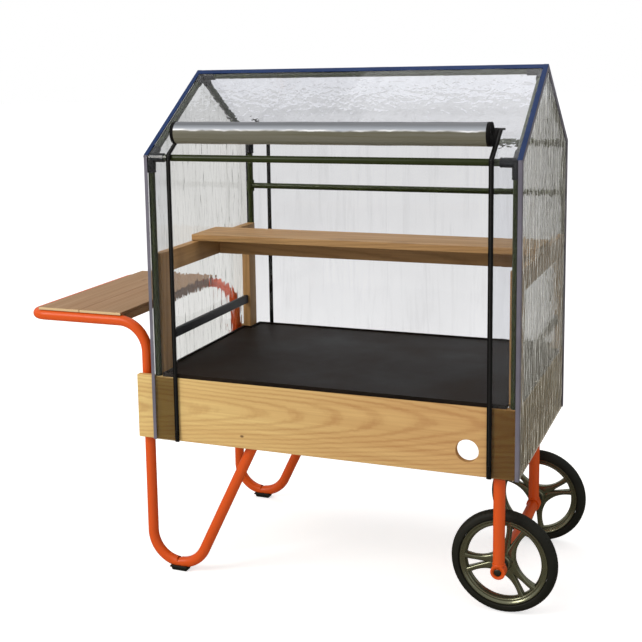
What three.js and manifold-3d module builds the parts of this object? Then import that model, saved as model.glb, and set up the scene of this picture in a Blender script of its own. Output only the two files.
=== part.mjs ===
// A wheelbarrow-style greenhouse cart: a bent-tube chassis with a handle loop, two U-shaped
// legs and two spoked wheels carries an open-bottomed wooden box. A tray covers the box, a
// wooden frame holds an inner shelf, and a small pitched greenhouse of push-fit tubes stands
// on the box under a clear zipped cover. Millimetres, +Z up, +X from the handle to the
// wheels, -Y is the door side. The origin is on the ground, under the middle of the whole
// cart's length and depth.
import * as THREE from 'three';
import { mergeVertices } from 'three/addons/utils/BufferGeometryUtils.js';
import Module from 'manifold-3d';

const wasm = await Module();
wasm.setup();

// ---------------------------------------------------------------- driving dimensions
const gap = 0.3;                 // between pieces that touch on the real cart

// wooden box
const boxLength = 944;           // over the end boards
const boxDepth = 636;            // over the front and rear boards
const boxBottom = 371;           // underside of the boards above the ground
const boardHeight = 170;
const boardThickness = 18;
const holeDiameter = 54;         // round hole in the front board
const holeFromEnd = 117;         // hole centre from the wheel end of the board
const holeHeight = 60;           // hole centre above the board's underside

// wooden inner frame
const postWidth = 24;            // along the cart
const postDepth = 46;            // across the cart
const railHeight = 54;
const postsAboveBox = 321;       // top of the posts and side rails
const shelfFront = -84;          // front edge of the shelf from the middle
const shelfDepth = 154;
const shelfThickness = 18;
const shelfInset = 2;            // shelf ends from the outside of the side rails
const crossRailThickness = 24;
const barHeight = 25;            // black side bars
const barThickness = 12;
const barAboveBox = 93;          // middle of the side bars

// tray
const trayRimHeight = 10;        // above the boards
const trayRimWidth = 6;
const notchGap = 1.5;            // tray's corner notches to the posts
const trayFloorDrop = 4;         // floor below the rim
const trayFloorThickness = 2.5;
const bearerWidth = 44;

// bent-tube chassis
const tubeDiameter = 28;
const tubeWall = 1.5;
const bendRadius = 80;           // centre line of the former used for the legs
const cornerRadius = 40;         // centre line of the two handle corners
const tubeToBoard = 3;           // tube surface to the inside of the front and rear boards
const tubeStandOff = 24;         // tube surface to the end board, the cover hangs between
const handleReach = 354;         // handle crossbar beyond the upright tubes, centre to centre
const handleAboveBox = 132;      // centre line of the handle loop
const jointAboveBottom = 109;    // where the handle tube plugs into the leg tubes
const spigotLength = 40;
const spigotClearance = 0.5;
const spigotWall = 4;
const legSlope = 64;             // degrees of the tube that rises from each U
const runBelowBoardTop = 44;     // centre line of the run under the tray
const padUnderTube = 7;
const padLength = 50;
const padWidth = 32;
const padHeight = 15;
const carrierAboveBottom = 29;   // centre line of the crossbar above the boards' underside

// wheels and axle
const wheelRadius = 130;
const tyreWidth = 36;
const tyreHeight = 21;
const tyreSquareness = 0.7;      // 1 is a half ellipse, lower is squarer
const tyreSteps = 10;
const rimRing = 19;              // rim's band between the windows and the tyre
const rimWidth = 26;
const hubRadius = 23;
const hubWidth = 44;
const axleDiameter = 18;
const runningGap = 0.3;          // bore radius over axle radius
const wheelLegToPost = 9;        // wheel leg's surface to the corner post
const eyeletRadius = 18;
const frontWheelFromLeg = 63;     // wheel middle from its own leg's middle
const rearLegY = 175;
const rearWheelFromLeg = 70;
const spacerRadius = 15;
const axleEndCap = 7;
const spokePairs = 3;
const frontPairTurn = 190;       // degrees, direction of the first pair of spokes
const rearPairTurn = 264;
const spokeHalfAngle = 19;       // degrees a pair takes up at the rim, each side
const windowFromHub = 5;
const windowSwell = 22;          // pull of the window's curved edges, from the hub
const windowLean = 0.72;
const windowArcSteps = 8;
const slotFromHub = 8;
const slotHalfAngle = 5;
const slotShoulder = 6;          // slot's wide end to the inside of the rim

// side shelf on the handle loop
const sideShelfThickness = 8;
const sideShelfLength = 256;     // along the cart
const sideShelfOverhang = 7;     // past the tubes' middle on both sides
const sideShelfPlanks = 2;
const plankSeam = 0.8;
const sideShelfFromUpright = 73;
const battenWidth = 18;
const battenHeight = 20;

// greenhouse of push-fit tubes
const eavesAbovePosts = 255;     // outside of the cover at the eaves
const ridgeAboveEaves = 207;     // outside of the cover at the ridge
const frameTube = 17;
const frameTubeWall = 1.2;
const sleeveWall = 2.7;          // connector sleeves round the tubes
const sleeveLength = 38;         // from the middle of a connector
const tubeStop = 12;             // tube end from the middle of a connector
const rearRailAbovePosts = 112;
const rearRailSleeve = 34;

// clear cover
const film = 1.2;
const zipFromEdge = 68;
const doorHalfZip = 6;
const doorTopUpSlope = 115;      // door's top edge from the eave, along the slope
const rollDiameter = 60;
const rollInsideZip = 5;         // roll's ends from the zips' middles
const rollUpSlope = 55;          // roll's middle from the eave, along the slope
const rollLift = 1;
const sliderWidth = 12;
const sliderHeight = 15;
const sliderDepth = 6;
const pullWidth = 7;
const pullLength = 22;
const pullDepth = 2.5;
const sliderOff = 0.6;           // slider to the film

// ---------------------------------------------------------------- worked-out places
const endX = boxLength / 2;
const sideY = boxDepth / 2;
const boxTop = boxBottom + boardHeight;
const railTop = boxTop + postsAboveBox;
const barMiddle = boxTop + barAboveBox;
const handleHeight = boxTop + handleAboveBox;
const jointHeight = boxBottom + jointAboveBottom;
const eaveHeight = railTop + eavesAbovePosts;
const ridgeHeight = eaveHeight + ridgeAboveEaves;
const rearRailHeight = railTop + rearRailAbovePosts;
const innerY = sideY - boardThickness;
const tubeRadius = tubeDiameter / 2;
const tubeY = innerY - tubeToBoard - tubeRadius;
const uprightX = -(endX + tubeStandOff + tubeRadius);
const boardOverhang = tubeStandOff + tubeDiameter;
const postInnerX = endX - postWidth;
const postInnerY = innerY - postDepth;
const handleX = uprightX - handleReach;
const legZ = padUnderTube + tubeRadius;
const runZ = boxTop - runBelowBoardTop;
const carrierZ = boxBottom + carrierAboveBottom;
const axleX = postInnerX - wheelLegToPost - tubeRadius;
const tyreInner = wheelRadius - tyreHeight;
const rimInner = tyreInner - rimRing;
const axleRadius = axleDiameter / 2;
const frontLegY = -tubeY;
const frontWheelY = frontLegY + frontWheelFromLeg;
const rearWheelY = rearLegY + rearWheelFromLeg;
const frameRadius = frameTube / 2;
const sleeveRadius = frameRadius + gap + sleeveWall;
const tubeOnBoard = Math.max(boardThickness / 2, frameRadius + gap);
const frameX = endX - boardThickness + tubeOnBoard;
const frameY = sideY - boardThickness + tubeOnBoard;
const filmFromTube = gap + Math.max(sleeveRadius, boardThickness - tubeOnBoard);
const coverX = frameX + filmFromTube + film;
const coverY = frameY + filmFromTube + film;
const pitch = Math.atan2(ridgeHeight - eaveHeight, coverY);
const rafterStop = Math.max(tubeStop, frameRadius * Math.tan(pitch) + gap);
const frameBelowRoof = film + gap + sleeveRadius;
const ridgeTubeZ = ridgeHeight - frameBelowRoof / Math.cos(pitch);
const eaveTubeZ = ridgeTubeZ - frameY * Math.tan(pitch);
const zipX = coverX - zipFromEdge;
const shelfTop = railTop + gap + shelfThickness;
const originX = (handleX - tubeRadius + axleX + wheelRadius) / 2;

// ---------------------------------------------------------------- materials
function finish(color, roughness, metalness = 0) {
  return new THREE.MeshStandardMaterial({ color, roughness, metalness });
}
const orangePaint = finish('#e35b1c', 0.35, 0.2);
const pine = finish('#d9b77c', 0.65);
const shadedPine = finish('#a98560', 0.7);
const brownPine = finish('#8b6546', 0.7);
const blackPlastic = finish('#17191a', 0.45);
const blackRubber = finish('#15150f', 0.8);
const gunmetal = finish('#3c3f38', 0.35, 0.6);
const darkSteel = finish('#33342f', 0.4, 0.8);
const darkTube = finish('#20260f', 0.4, 0.3);
const clearFilm = finish('#dfe2ea', 0.15);
const rolledFilm = finish('#8f939b', 0.3);

// ---------------------------------------------------------------- building blocks
const cart = new THREE.Group();
const model = new THREE.Group();
model.position.x = -originX;
cart.add(model);

function put(name, geometry, material) {
  const mesh = new THREE.Mesh(geometry, material);
  mesh.name = name;
  model.add(mesh);
}

function block([x0, x1], [y0, y1], [z0, z1]) {
  const geometry = new THREE.BoxGeometry(x1 - x0, y1 - y0, z1 - z0);
  return geometry.translate((x0 + x1) / 2, (y0 + y1) / 2, (z0 + z1) / 2);
}

// A path of straight runs and round bends. Stations lie only where the tube needs them.
class BentPath extends THREE.Curve {
  constructor(stations) {
    super();
    this.stations = stations;
  }

  at(u) {
    return this.stations[Math.round(u * (this.stations.length - 1))];
  }

  getPointAt(u, target = new THREE.Vector3()) {
    return target.copy(this.at(u).point);
  }

  getTangentAt(u, target = new THREE.Vector3()) {
    return target.copy(this.at(u).tangent);
  }
}

// Corner points with a bend radius each become stations; the first and last have none.
function bentPath(corners, bendStep = 11.25) {
  const points = corners.map((corner) => new THREE.Vector3(...corner.at));
  const last = points.length - 1;
  const heading = (i) => points[i + 1].clone().sub(points[i]).normalize();
  const stations = [{ point: points[0], tangent: heading(0) }];
  for (let i = 1; i < last; i += 1) {
    const before = heading(i - 1);
    const after = heading(i);
    const turn = before.angleTo(after);
    const radius = corners[i].radius;
    const axis = before.clone().cross(after).normalize();
    const start = points[i].clone().addScaledVector(before, -radius * Math.tan(turn / 2));
    const toCentre = axis.clone().cross(before);
    const centre = start.clone().addScaledVector(toCentre, radius);
    const steps = Math.ceil(THREE.MathUtils.radToDeg(turn) / bendStep);
    for (let k = 0; k <= steps; k += 1) {
      const angle = turn * k / steps;
      const tangent = before.clone().applyAxisAngle(axis, angle);
      const spoke = toCentre.clone().applyAxisAngle(axis, angle);
      const point = centre.clone().addScaledVector(spoke, -radius);
      if (point.distanceTo(stations[stations.length - 1].point) > 0.5) {
        stations.push({ point, tangent });
      }
    }
  }
  stations.push({ point: points[last], tangent: heading(last - 1) });
  return new BentPath(stations);
}

function ring(radius, sides) {
  const points = [];
  for (let i = 0; i < sides; i += 1) {
    const angle = 2 * Math.PI * i / sides;
    points.push(new THREE.Vector2(radius * Math.cos(angle), radius * Math.sin(angle)));
  }
  return points;
}

// A round bar along a path, or a tube with open ends when an inner radius is given.
function roundAlong(path, radius, innerRadius = 0, sides = 16) {
  const section = new THREE.Shape(ring(radius, sides));
  if (innerRadius > 0) {
    section.holes.push(new THREE.Path(ring(innerRadius, sides)));
  }
  const steps = path.stations.length - 1;
  return new THREE.ExtrudeGeometry(section, { steps, extrudePath: path, bevelEnabled: false });
}

function straight(from, to, radius, innerRadius = 0, sides = 16) {
  return roundAlong(bentPath([{ at: from }, { at: to }]), radius, innerRadius, sides);
}

function solid(geometry) {
  const bare = geometry.index ? geometry.toNonIndexed() : geometry.clone();
  bare.deleteAttribute('normal');
  bare.deleteAttribute('uv');
  const merged = mergeVertices(bare, 1e-4);
  return new wasm.Manifold(new wasm.Mesh({
    numProp: 3,
    vertProperties: new Float32Array(merged.attributes.position.array),
    triVerts: new Uint32Array(merged.index.array),
  }));
}

// The first geometry, joined with the others in join and cut by those in cut.
function shaped(base, { join = [], cut = [] }) {
  let result = solid(base);
  for (const extra of join) result = result.add(solid(extra));
  for (const tool of cut) result = result.subtract(solid(tool));
  const mesh = result.getMesh();
  const geometry = new THREE.BufferGeometry();
  geometry.setAttribute('position', new THREE.BufferAttribute(mesh.vertProperties, 3));
  geometry.setIndex(new THREE.BufferAttribute(mesh.triVerts, 1));
  return geometry;
}

// A lathe profile of [radius, position] pairs, turned about a line along Y.
function turnedAlongY(profile, x, z, segments) {
  const points = profile.map(([radius, along]) => new THREE.Vector2(radius, along));
  return new THREE.LatheGeometry(points, segments).translate(x, 0, z);
}

// ---------------------------------------------------------------- chassis tubes
const innerTubeRadius = tubeRadius - tubeWall;

function addHandleTube() {
  const path = bentPath([
    { at: [uprightX, -tubeY, jointHeight + gap] },
    { at: [uprightX, -tubeY, handleHeight], radius: bendRadius },
    { at: [handleX, -tubeY, handleHeight], radius: cornerRadius },
    { at: [handleX, tubeY, handleHeight], radius: cornerRadius },
    { at: [uprightX, tubeY, handleHeight], radius: bendRadius },
    { at: [uprightX, tubeY, jointHeight + gap] },
  ]);
  const spigots = [-tubeY, tubeY].flatMap((y) => [
    straight(
      [uprightX, y, jointHeight - spigotLength], [uprightX, y, jointHeight + spigotLength],
      innerTubeRadius - spigotClearance, innerTubeRadius - spigotWall,
    ),
    straight(
      [uprightX, y, jointHeight + gap], [uprightX, y, jointHeight + spigotLength],
      (tubeRadius + innerTubeRadius) / 2, innerTubeRadius - spigotWall,
    ),
  ]);
  const loop = roundAlong(path, tubeRadius, innerTubeRadius);
  put('handle_tube', shaped(loop, { join: spigots }), orangePaint);
}

function legCorners(y, endZ) {
  const rise = THREE.MathUtils.degToRad(legSlope);
  const footX = uprightX + bendRadius + bendRadius * Math.tan(rise / 2);
  const runStartX = footX + (runZ - legZ) / Math.tan(rise);
  return [
    { at: [uprightX, y, jointHeight] },
    { at: [uprightX, y, legZ], radius: bendRadius },
    { at: [footX, y, legZ], radius: bendRadius },
    { at: [runStartX, y, runZ], radius: bendRadius },
    { at: [axleX, y, runZ], radius: bendRadius },
    { at: [axleX, y, endZ] },
  ];
}

function eyelet(y) {
  return straight(
    [axleX, y - tubeRadius, wheelRadius],
    [axleX, y + tubeRadius, wheelRadius],
    eyeletRadius, 0, 24,
  );
}

function axleBore(y) {
  return straight(
    [axleX, y - 2 * tubeRadius, wheelRadius],
    [axleX, y + 2 * tubeRadius, wheelRadius],
    axleRadius + gap, 0, 24,
  );
}

function addLegTubes() {
  const front = roundAlong(bentPath(legCorners(-tubeY, wheelRadius)), tubeRadius, innerTubeRadius);
  const frontShape = { join: [eyelet(frontLegY)], cut: [axleBore(frontLegY)] };
  put('front_leg_tube', shaped(front, frontShape), orangePaint);

  const rearPath = bentPath(legCorners(tubeY, boxBottom + gap));
  put('rear_leg_tube', roundAlong(rearPath, tubeRadius, innerTubeRadius), orangePaint);
}

function addCarrier() {
  const reach = tubeY - tubeRadius - gap;
  put('carrier_crossbar', straight(
    [axleX, -reach, carrierZ], [axleX, reach, carrierZ], tubeRadius, innerTubeRadius,
  ), orangePaint);
  const leg = straight(
    [axleX, rearLegY, wheelRadius], [axleX, rearLegY, carrierZ],
    tubeRadius, innerTubeRadius,
  );
  const crossbarSpace = straight(
    [axleX, rearLegY - 3 * tubeRadius, carrierZ],
    [axleX, rearLegY + 3 * tubeRadius, carrierZ],
    tubeRadius + gap,
  );
  put('rear_wheel_leg', shaped(leg, {
    join: [eyelet(rearLegY)], cut: [axleBore(rearLegY), crossbarSpace],
  }), orangePaint);
  put('axle_sleeve', straight(
    [axleX, frontWheelY + hubWidth / 2 + gap, wheelRadius],
    [axleX, rearLegY - tubeRadius - gap, wheelRadius],
    tubeRadius, axleRadius + gap,
  ), orangePaint);
}

function addFootPads() {
  for (const [name, y] of [['front_foot_pad', -tubeY], ['rear_foot_pad', tubeY]]) {
    const middle = uprightX + bendRadius;
    const pad = block(
      [middle - padLength / 2, middle + padLength / 2],
      [y - padWidth / 2, y + padWidth / 2],
      [0, padHeight],
    );
    const leg = roundAlong(bentPath(legCorners(y, boxBottom)), tubeRadius + gap);
    put(name, shaped(pad, { cut: [leg] }), blackRubber);
  }
}

// ---------------------------------------------------------------- axle and wheels
function addAxle() {
  const frontSpacer = [frontLegY + tubeRadius + gap, frontWheelY - hubWidth / 2 - gap];
  const rearSpacer = [rearLegY + tubeRadius + gap, rearWheelY - hubWidth / 2 - gap];
  const capStart = rearWheelY + hubWidth / 2 + gap;
  const profile = [
    [0, frontLegY - tubeRadius],
    [axleRadius, frontLegY - tubeRadius],
    ...[frontSpacer, rearSpacer].flatMap(([start, end]) => [
      [axleRadius, start], [spacerRadius, start], [spacerRadius, end], [axleRadius, end],
    ]),
    [axleRadius, capStart],
    [spacerRadius, capStart],
    [spacerRadius, capStart + axleEndCap],
    [0, capStart + axleEndCap],
  ];
  put('axle', turnedAlongY(profile, axleX, wheelRadius, 24), darkSteel);
}

function tyreGeometry(y) {
  const half = tyreWidth / 2;
  const profile = [];
  for (let i = 0; i <= tyreSteps; i += 1) {
    const angle = Math.PI * i / tyreSteps;
    const bulge = Math.pow(Math.sin(angle), tyreSquareness);
    profile.push([tyreInner + tyreHeight * bulge, y - half * Math.cos(angle)]);
  }
  profile.push([tyreInner, y - half]);
  return turnedAlongY(profile, axleX, wheelRadius, 48);
}

const polar = (radius, degrees) => new THREE.Vector2(
  radius * Math.cos(THREE.MathUtils.degToRad(degrees)),
  radius * Math.sin(THREE.MathUtils.degToRad(degrees)),
);

// A wide window between two spoke pairs, and the narrow slot inside one pair.
function spokeWindow(middle) {
  const spread = 180 / spokePairs - spokeHalfAngle;
  const lean = spread * windowLean;
  const waist = hubRadius + windowFromHub;
  const window = new THREE.Path();
  window.moveTo(...polar(waist, middle));
  const low = polar(hubRadius + windowSwell, middle - lean);
  window.quadraticCurveTo(...low, ...polar(rimInner, middle - spread));
  for (let i = 1; i <= windowArcSteps; i += 1) {
    window.lineTo(...polar(rimInner, middle - spread + 2 * spread * i / windowArcSteps));
  }
  const high = polar(hubRadius + windowSwell, middle + lean);
  window.quadraticCurveTo(...high, ...polar(waist, middle));
  return window;
}

function spokeSlot(middle) {
  const slot = new THREE.Path();
  slot.moveTo(...polar(hubRadius + slotFromHub, middle));
  slot.lineTo(...polar(rimInner - slotShoulder, middle - slotHalfAngle));
  slot.lineTo(...polar(rimInner - slotShoulder / 2, middle));
  slot.lineTo(...polar(rimInner - slotShoulder, middle + slotHalfAngle));
  slot.closePath();
  return slot;
}

function rimGeometry(y, firstPair) {
  const disc = new THREE.Shape(ring(tyreInner - gap, 48));
  for (let i = 0; i < spokePairs; i += 1) {
    const pair = firstPair + 360 * i / spokePairs;
    disc.holes.push(spokeWindow(pair + 180 / spokePairs), spokeSlot(pair));
  }
  const web = new THREE.ExtrudeGeometry(disc, {
    depth: rimWidth, bevelEnabled: false, curveSegments: 6,
  });
  web.translate(0, 0, -rimWidth / 2).rotateX(Math.PI / 2).translate(axleX, y, wheelRadius);
  const hub = straight(
    [axleX, y - hubWidth / 2, wheelRadius], [axleX, y + hubWidth / 2, wheelRadius],
    hubRadius, 0, 24,
  );
  const bore = straight(
    [axleX, y - hubWidth, wheelRadius], [axleX, y + hubWidth, wheelRadius],
    axleRadius + runningGap, 0, 24,
  );
  return shaped(web, { join: [hub], cut: [bore] });
}

function addWheels() {
  const wheels = [['front', frontWheelY, frontPairTurn], ['rear', rearWheelY, rearPairTurn]];
  for (const [side, y, firstPair] of wheels) {
    put(`${side}_tyre`, tyreGeometry(y), blackRubber);
    put(`${side}_rim`, rimGeometry(y, firstPair), gunmetal);
  }
}

// ---------------------------------------------------------------- box and tray
function addBox() {
  const height = [boxBottom, boxTop];
  const long = [-endX - boardOverhang, endX];
  const hole = straight(
    [endX - holeFromEnd, -sideY - 1, boxBottom + holeHeight],
    [endX - holeFromEnd, -innerY + 1, boxBottom + holeHeight],
    holeDiameter / 2, 0, 32,
  );
  const front = block(long, [-sideY, -innerY], height);
  put('front_board', shaped(front, { cut: [hole] }), pine);
  put('rear_board', block(long, [innerY, sideY], height), pine);

  const between = [-postInnerY + gap, postInnerY - gap];
  const boardX = endX - boardThickness;
  put('left_end_board', block([-endX, -boardX], between, height), pine);
  put('right_end_board', block([boardX, endX], between, height), pine);
}

function addPosts() {
  const across = [postInnerY, innerY - gap];
  for (const [side, sign] of [['left', -1], ['right', 1]]) {
    const along = [sign * postInnerX, sign * endX].sort((a, b) => a - b);
    const height = [boxBottom, railTop];
    const frontSpan = [-across[1], -across[0]];
    put(`front_${side}_post`, block(along, frontSpan, height), brownPine);
    put(`rear_${side}_post`, block(along, across, height), brownPine);
  }
}

function addTray() {
  const top = boxTop + trayRimHeight;
  const floorTop = top - trayFloorDrop;
  const slab = block([-endX, endX], [-sideY, sideY], [boxTop + gap, top]);
  const inX = endX - trayRimWidth;
  const inY = sideY - trayRimWidth;
  const well = block([-inX, inX], [-inY, inY], [floorTop, top + 1]);
  const underX = endX - boardThickness;
  const underside = block(
    [-underX, underX], [-innerY, innerY], [boxTop - 1, floorTop - trayFloorThickness],
  );
  const notches = [];
  const rims = [];
  for (const sx of [-1, 1]) {
    for (const sy of [-1, 1]) {
      const nx = [sx * (postInnerX - notchGap), sx * (endX + 1)].sort((a, b) => a - b);
      const ny = [sy * (postInnerY - notchGap), sy * (sideY + 1)].sort((a, b) => a - b);
      notches.push(block(nx, ny, [boxTop - 2, top + 2]));
      const rx = [sx * (postInnerX - notchGap - trayRimWidth), sx * endX].sort((a, b) => a - b);
      const ry = [sy * (postInnerY - notchGap - trayRimWidth), sy * sideY].sort((a, b) => a - b);
      rims.push(block(rx, ry, [boxTop + gap, top]));
    }
  }
  const open = shaped(slab, { cut: [well, underside] });
  put('tray', shaped(open, { join: rims, cut: notches }), blackPlastic);

  const bearerTop = floorTop - trayFloorThickness - gap;
  const bearerReach = innerY - gap;
  put('tray_bearer', block(
    [-bearerWidth / 2, bearerWidth / 2], [-bearerReach, bearerReach],
    [runZ + tubeRadius + gap, bearerTop],
  ), brownPine);
}

// ---------------------------------------------------------------- inner frame
function addInnerFrame() {
  const between = [-postInnerY + gap, postInnerY - gap];
  const railSpan = [railTop - railHeight, railTop];
  const barSpan = [barMiddle - barHeight / 2, barMiddle + barHeight / 2];
  const barX = [endX - (postWidth + barThickness) / 2, endX - (postWidth - barThickness) / 2];
  put('left_side_rail', block([-endX, -postInnerX], between, railSpan), brownPine);
  put('right_side_rail', block([postInnerX, endX], between, railSpan), brownPine);
  put('left_side_bar', block([-barX[1], -barX[0]], between, barSpan), blackPlastic);
  put('right_side_bar', block(barX, between, barSpan), blackPlastic);

  const shelfBack = shelfFront + shelfDepth;
  const railX = postInnerX - gap;
  const shelfX = endX - shelfInset;
  put('shelf_cross_rail', block(
    [-railX, railX], [shelfBack - crossRailThickness, shelfBack], railSpan,
  ), brownPine);
  put('shelf_plank', block(
    [-shelfX, shelfX], [shelfFront, shelfBack], [railTop + gap, shelfTop],
  ), brownPine);
}

// ---------------------------------------------------------------- side shelf
function addSideShelf() {
  const bottom = handleHeight + tubeRadius + gap;
  const right = uprightX - sideShelfFromUpright;
  const reachY = tubeY + sideShelfOverhang;
  const plank = (sideShelfLength - plankSeam * (sideShelfPlanks - 1)) / sideShelfPlanks;
  for (let i = 0; i < sideShelfPlanks; i += 1) {
    const x1 = right - i * (plank + plankSeam);
    put(`side_shelf_plank_${i + 1}`, block(
      [x1 - plank, x1], [-reachY, reachY], [bottom, bottom + sideShelfThickness],
    ), shadedPine);
  }
  const battenY = tubeY - tubeRadius - gap;
  put('side_shelf_batten', block(
    [right - battenWidth, right], [-battenY, battenY], [bottom - gap - battenHeight, bottom - gap],
  ), shadedPine);
}

// ---------------------------------------------------------------- greenhouse frame
const eavePoint = (sx, sy) => [sx * frameX, sy * frameY, eaveTubeZ];
const ridgePoint = (sx) => [sx * frameX, 0, ridgeTubeZ];
const frameInner = frameRadius - frameTubeWall;

function along(from, to, distance) {
  const a = new THREE.Vector3(...from);
  const b = new THREE.Vector3(...to);
  return a.addScaledVector(b.sub(a).normalize(), distance).toArray();
}

function frameBar(from, to, startStop, endStop) {
  return straight(
    along(from, to, startStop), along(to, from, endStop), frameRadius, frameInner, 12,
  );
}

// A push-fit connector: a round hub with one sleeve towards each of its tubes.
function connector(centre, targets) {
  const hub = new THREE.SphereGeometry(sleeveRadius, 12, 8).translate(...centre);
  const sleeves = [];
  const bores = [];
  for (const target of targets) {
    const mouth = along(centre, target, sleeveLength);
    sleeves.push(straight(centre, mouth, sleeveRadius, 0, 12));
    bores.push(straight(
      along(centre, target, tubeStop - gap), along(centre, target, sleeveLength + 1),
      frameRadius + gap, 0, 12,
    ));
  }
  return shaped(hub, { join: sleeves, cut: bores });
}

function addGreenhouseFrame() {
  for (const [side, sx] of [['left', -1], ['right', 1]]) {
    const ridge = ridgePoint(sx);
    const rafterFeet = [];
    for (const [face, sy] of [['front', -1], ['rear', 1]]) {
      const eave = eavePoint(sx, sy);
      const foot = [eave[0], eave[1], boxTop + gap];
      const across = eavePoint(-sx, sy);
      rafterFeet.push(eave);
      put(`${face}_${side}_tube_post`, frameBar(foot, eave, 0, tubeStop), darkTube);
      put(`${face}_${side}_rafter`, frameBar(eave, ridge, tubeStop, rafterStop), darkTube);
      const targets = [foot, across, ridge];
      put(`${face}_${side}_connector`, connector(eave, targets), blackPlastic);
    }
    const ridgeTargets = [ridgePoint(-sx), ...rafterFeet];
    put(`${side}_ridge_connector`, connector(ridge, ridgeTargets), blackPlastic);
  }
  for (const [face, sy] of [['front', -1], ['rear', 1]]) {
    const rail = frameBar(eavePoint(-1, sy), eavePoint(1, sy), tubeStop, tubeStop);
    put(`${face}_eave_tube`, rail, darkTube);
  }
  put('ridge_tube', frameBar(ridgePoint(-1), ridgePoint(1), tubeStop, tubeStop), darkTube);
}

function addRearRail() {
  const ends = [-1, 1].map((sx) => [sx * frameX, frameY, rearRailHeight]);
  const sleeves = [];
  const bores = [];
  for (const [x, y, z] of ends) {
    const half = rearRailSleeve / 2;
    sleeves.push(straight([x, y, z - half], [x, y, z + half], sleeveRadius, 0, 12));
    bores.push(straight([x, y, z - half - 1], [x, y, z + half + 1], frameRadius + gap, 0, 12));
  }
  const rail = straight(ends[0], ends[1], frameRadius, 0, 12);
  put('rear_cross_rail', shaped(rail, { join: sleeves, cut: bores }), darkTube);
}

// ---------------------------------------------------------------- clear cover
// A gable end, notched where the long boards pass beyond it.
function gableShape(notched) {
  const lowY = notched ? innerY - gap : coverY;
  const stepZ = notched ? boxTop + gap : boxBottom;
  const shape = new THREE.Shape();
  shape.moveTo(-lowY, boxBottom);
  shape.lineTo(lowY, boxBottom);
  if (notched) {
    shape.lineTo(lowY, stepZ);
    shape.lineTo(coverY, stepZ);
  }
  shape.lineTo(coverY, eaveHeight);
  shape.lineTo(0, ridgeHeight);
  shape.lineTo(-coverY, eaveHeight);
  if (notched) {
    shape.lineTo(-coverY, stepZ);
    shape.lineTo(-lowY, stepZ);
  }
  shape.closePath();
  return shape;
}

// Turns an outline drawn as (y, z) into a plate between two places along the cart.
function plateAcross(shape, x0, x1) {
  const plate = new THREE.ExtrudeGeometry(shape, { depth: x1 - x0, bevelEnabled: false });
  const turn = new THREE.Matrix4().set(0, 0, 1, x0, 1, 0, 0, 0, 0, 1, 0, 0, 0, 0, 0, 1);
  return plate.applyMatrix4(turn);
}

// The section of one wall and its roof slope; side is -1 for the door side, 1 for the rear.
function wallAndSlope(side) {
  const shape = new THREE.Shape();
  const innerEaveZ = eaveHeight + film * Math.tan(pitch) - film / Math.cos(pitch);
  const outline = [
    [coverY, boxBottom],
    [coverY, eaveHeight],
    [gap, ridgeHeight - gap * Math.tan(pitch)],
    [gap, ridgeHeight - gap * Math.tan(pitch) - film / Math.cos(pitch)],
    [coverY - film, innerEaveZ],
    [coverY - film, boxBottom],
  ];
  const points = outline.map(([y, z]) => new THREE.Vector2(side * y, z));
  shape.setFromPoints(side > 0 ? points : points.reverse());
  return shape;
}

function addCover() {
  const innerX = coverX - film - gap;
  put('cover_left', plateAcross(gableShape(true), -coverX, -coverX + film), clearFilm);
  put('cover_right', plateAcross(gableShape(false), coverX - film, coverX), clearFilm);
  put('cover_rear', plateAcross(wallAndSlope(1), -innerX, innerX), clearFilm);

  const front = plateAcross(wallAndSlope(-1), -innerX, innerX);
  const doorX = zipX - doorHalfZip;
  const doorTopY = -coverY + doorTopUpSlope * Math.cos(pitch);
  const door = block([-doorX, doorX], [-coverY - 1, doorTopY], [boxBottom - 1, ridgeHeight]);
  put('cover_front', shaped(front, { cut: [door] }), clearFilm);
}

function addRoll() {
  const radius = rollDiameter / 2;
  const reach = zipX - rollInsideZip;
  const off = radius + rollLift;
  const y = -coverY + rollUpSlope * Math.cos(pitch) - off * Math.sin(pitch);
  const z = eaveHeight + rollUpSlope * Math.sin(pitch) + off * Math.cos(pitch);
  put('flap_roll', straight([-reach, y, z], [reach, y, z], radius, 0, 24), rolledFilm);
}

function addZipSliders() {
  for (const [face, sy] of [['front', -1], ['rear', 1]]) {
    for (const [side, sx] of [['left', -1], ['right', 1]]) {
      const x = sx * zipX;
      const near = coverY + sliderOff;
      const spanY = [sy * near, sy * (near + sliderDepth)].sort((a, b) => a - b);
      const pullNear = near + sliderDepth - pullDepth;
      const pullY = [sy * pullNear, sy * (near + sliderDepth)].sort((a, b) => a - b);
      const bottom = boxBottom + 2;
      const body = block(
        [x - sliderWidth / 2, x + sliderWidth / 2], spanY, [bottom, bottom + sliderHeight],
      );
      const pull = block(
        [x - pullWidth / 2, x + pullWidth / 2], pullY,
        [bottom + sliderHeight / 2, bottom + sliderHeight / 2 + pullLength],
      );
      put(`${face}_${side}_zip_slider`, shaped(body, { join: [pull] }), blackPlastic);
    }
  }
}

addHandleTube();
addLegTubes();
addCarrier();
addFootPads();
addAxle();
addWheels();
addBox();
addPosts();
addTray();
addInnerFrame();
addSideShelf();
addGreenhouseFrame();
addRearRail();
addCover();
addRoll();
addZipSliders();

export default cart;
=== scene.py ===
import math

import bpy
import numpy as np
from bpy.props import FloatProperty, FloatVectorProperty, IntProperty, PointerProperty
from mathutils import Matrix, Vector


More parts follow.
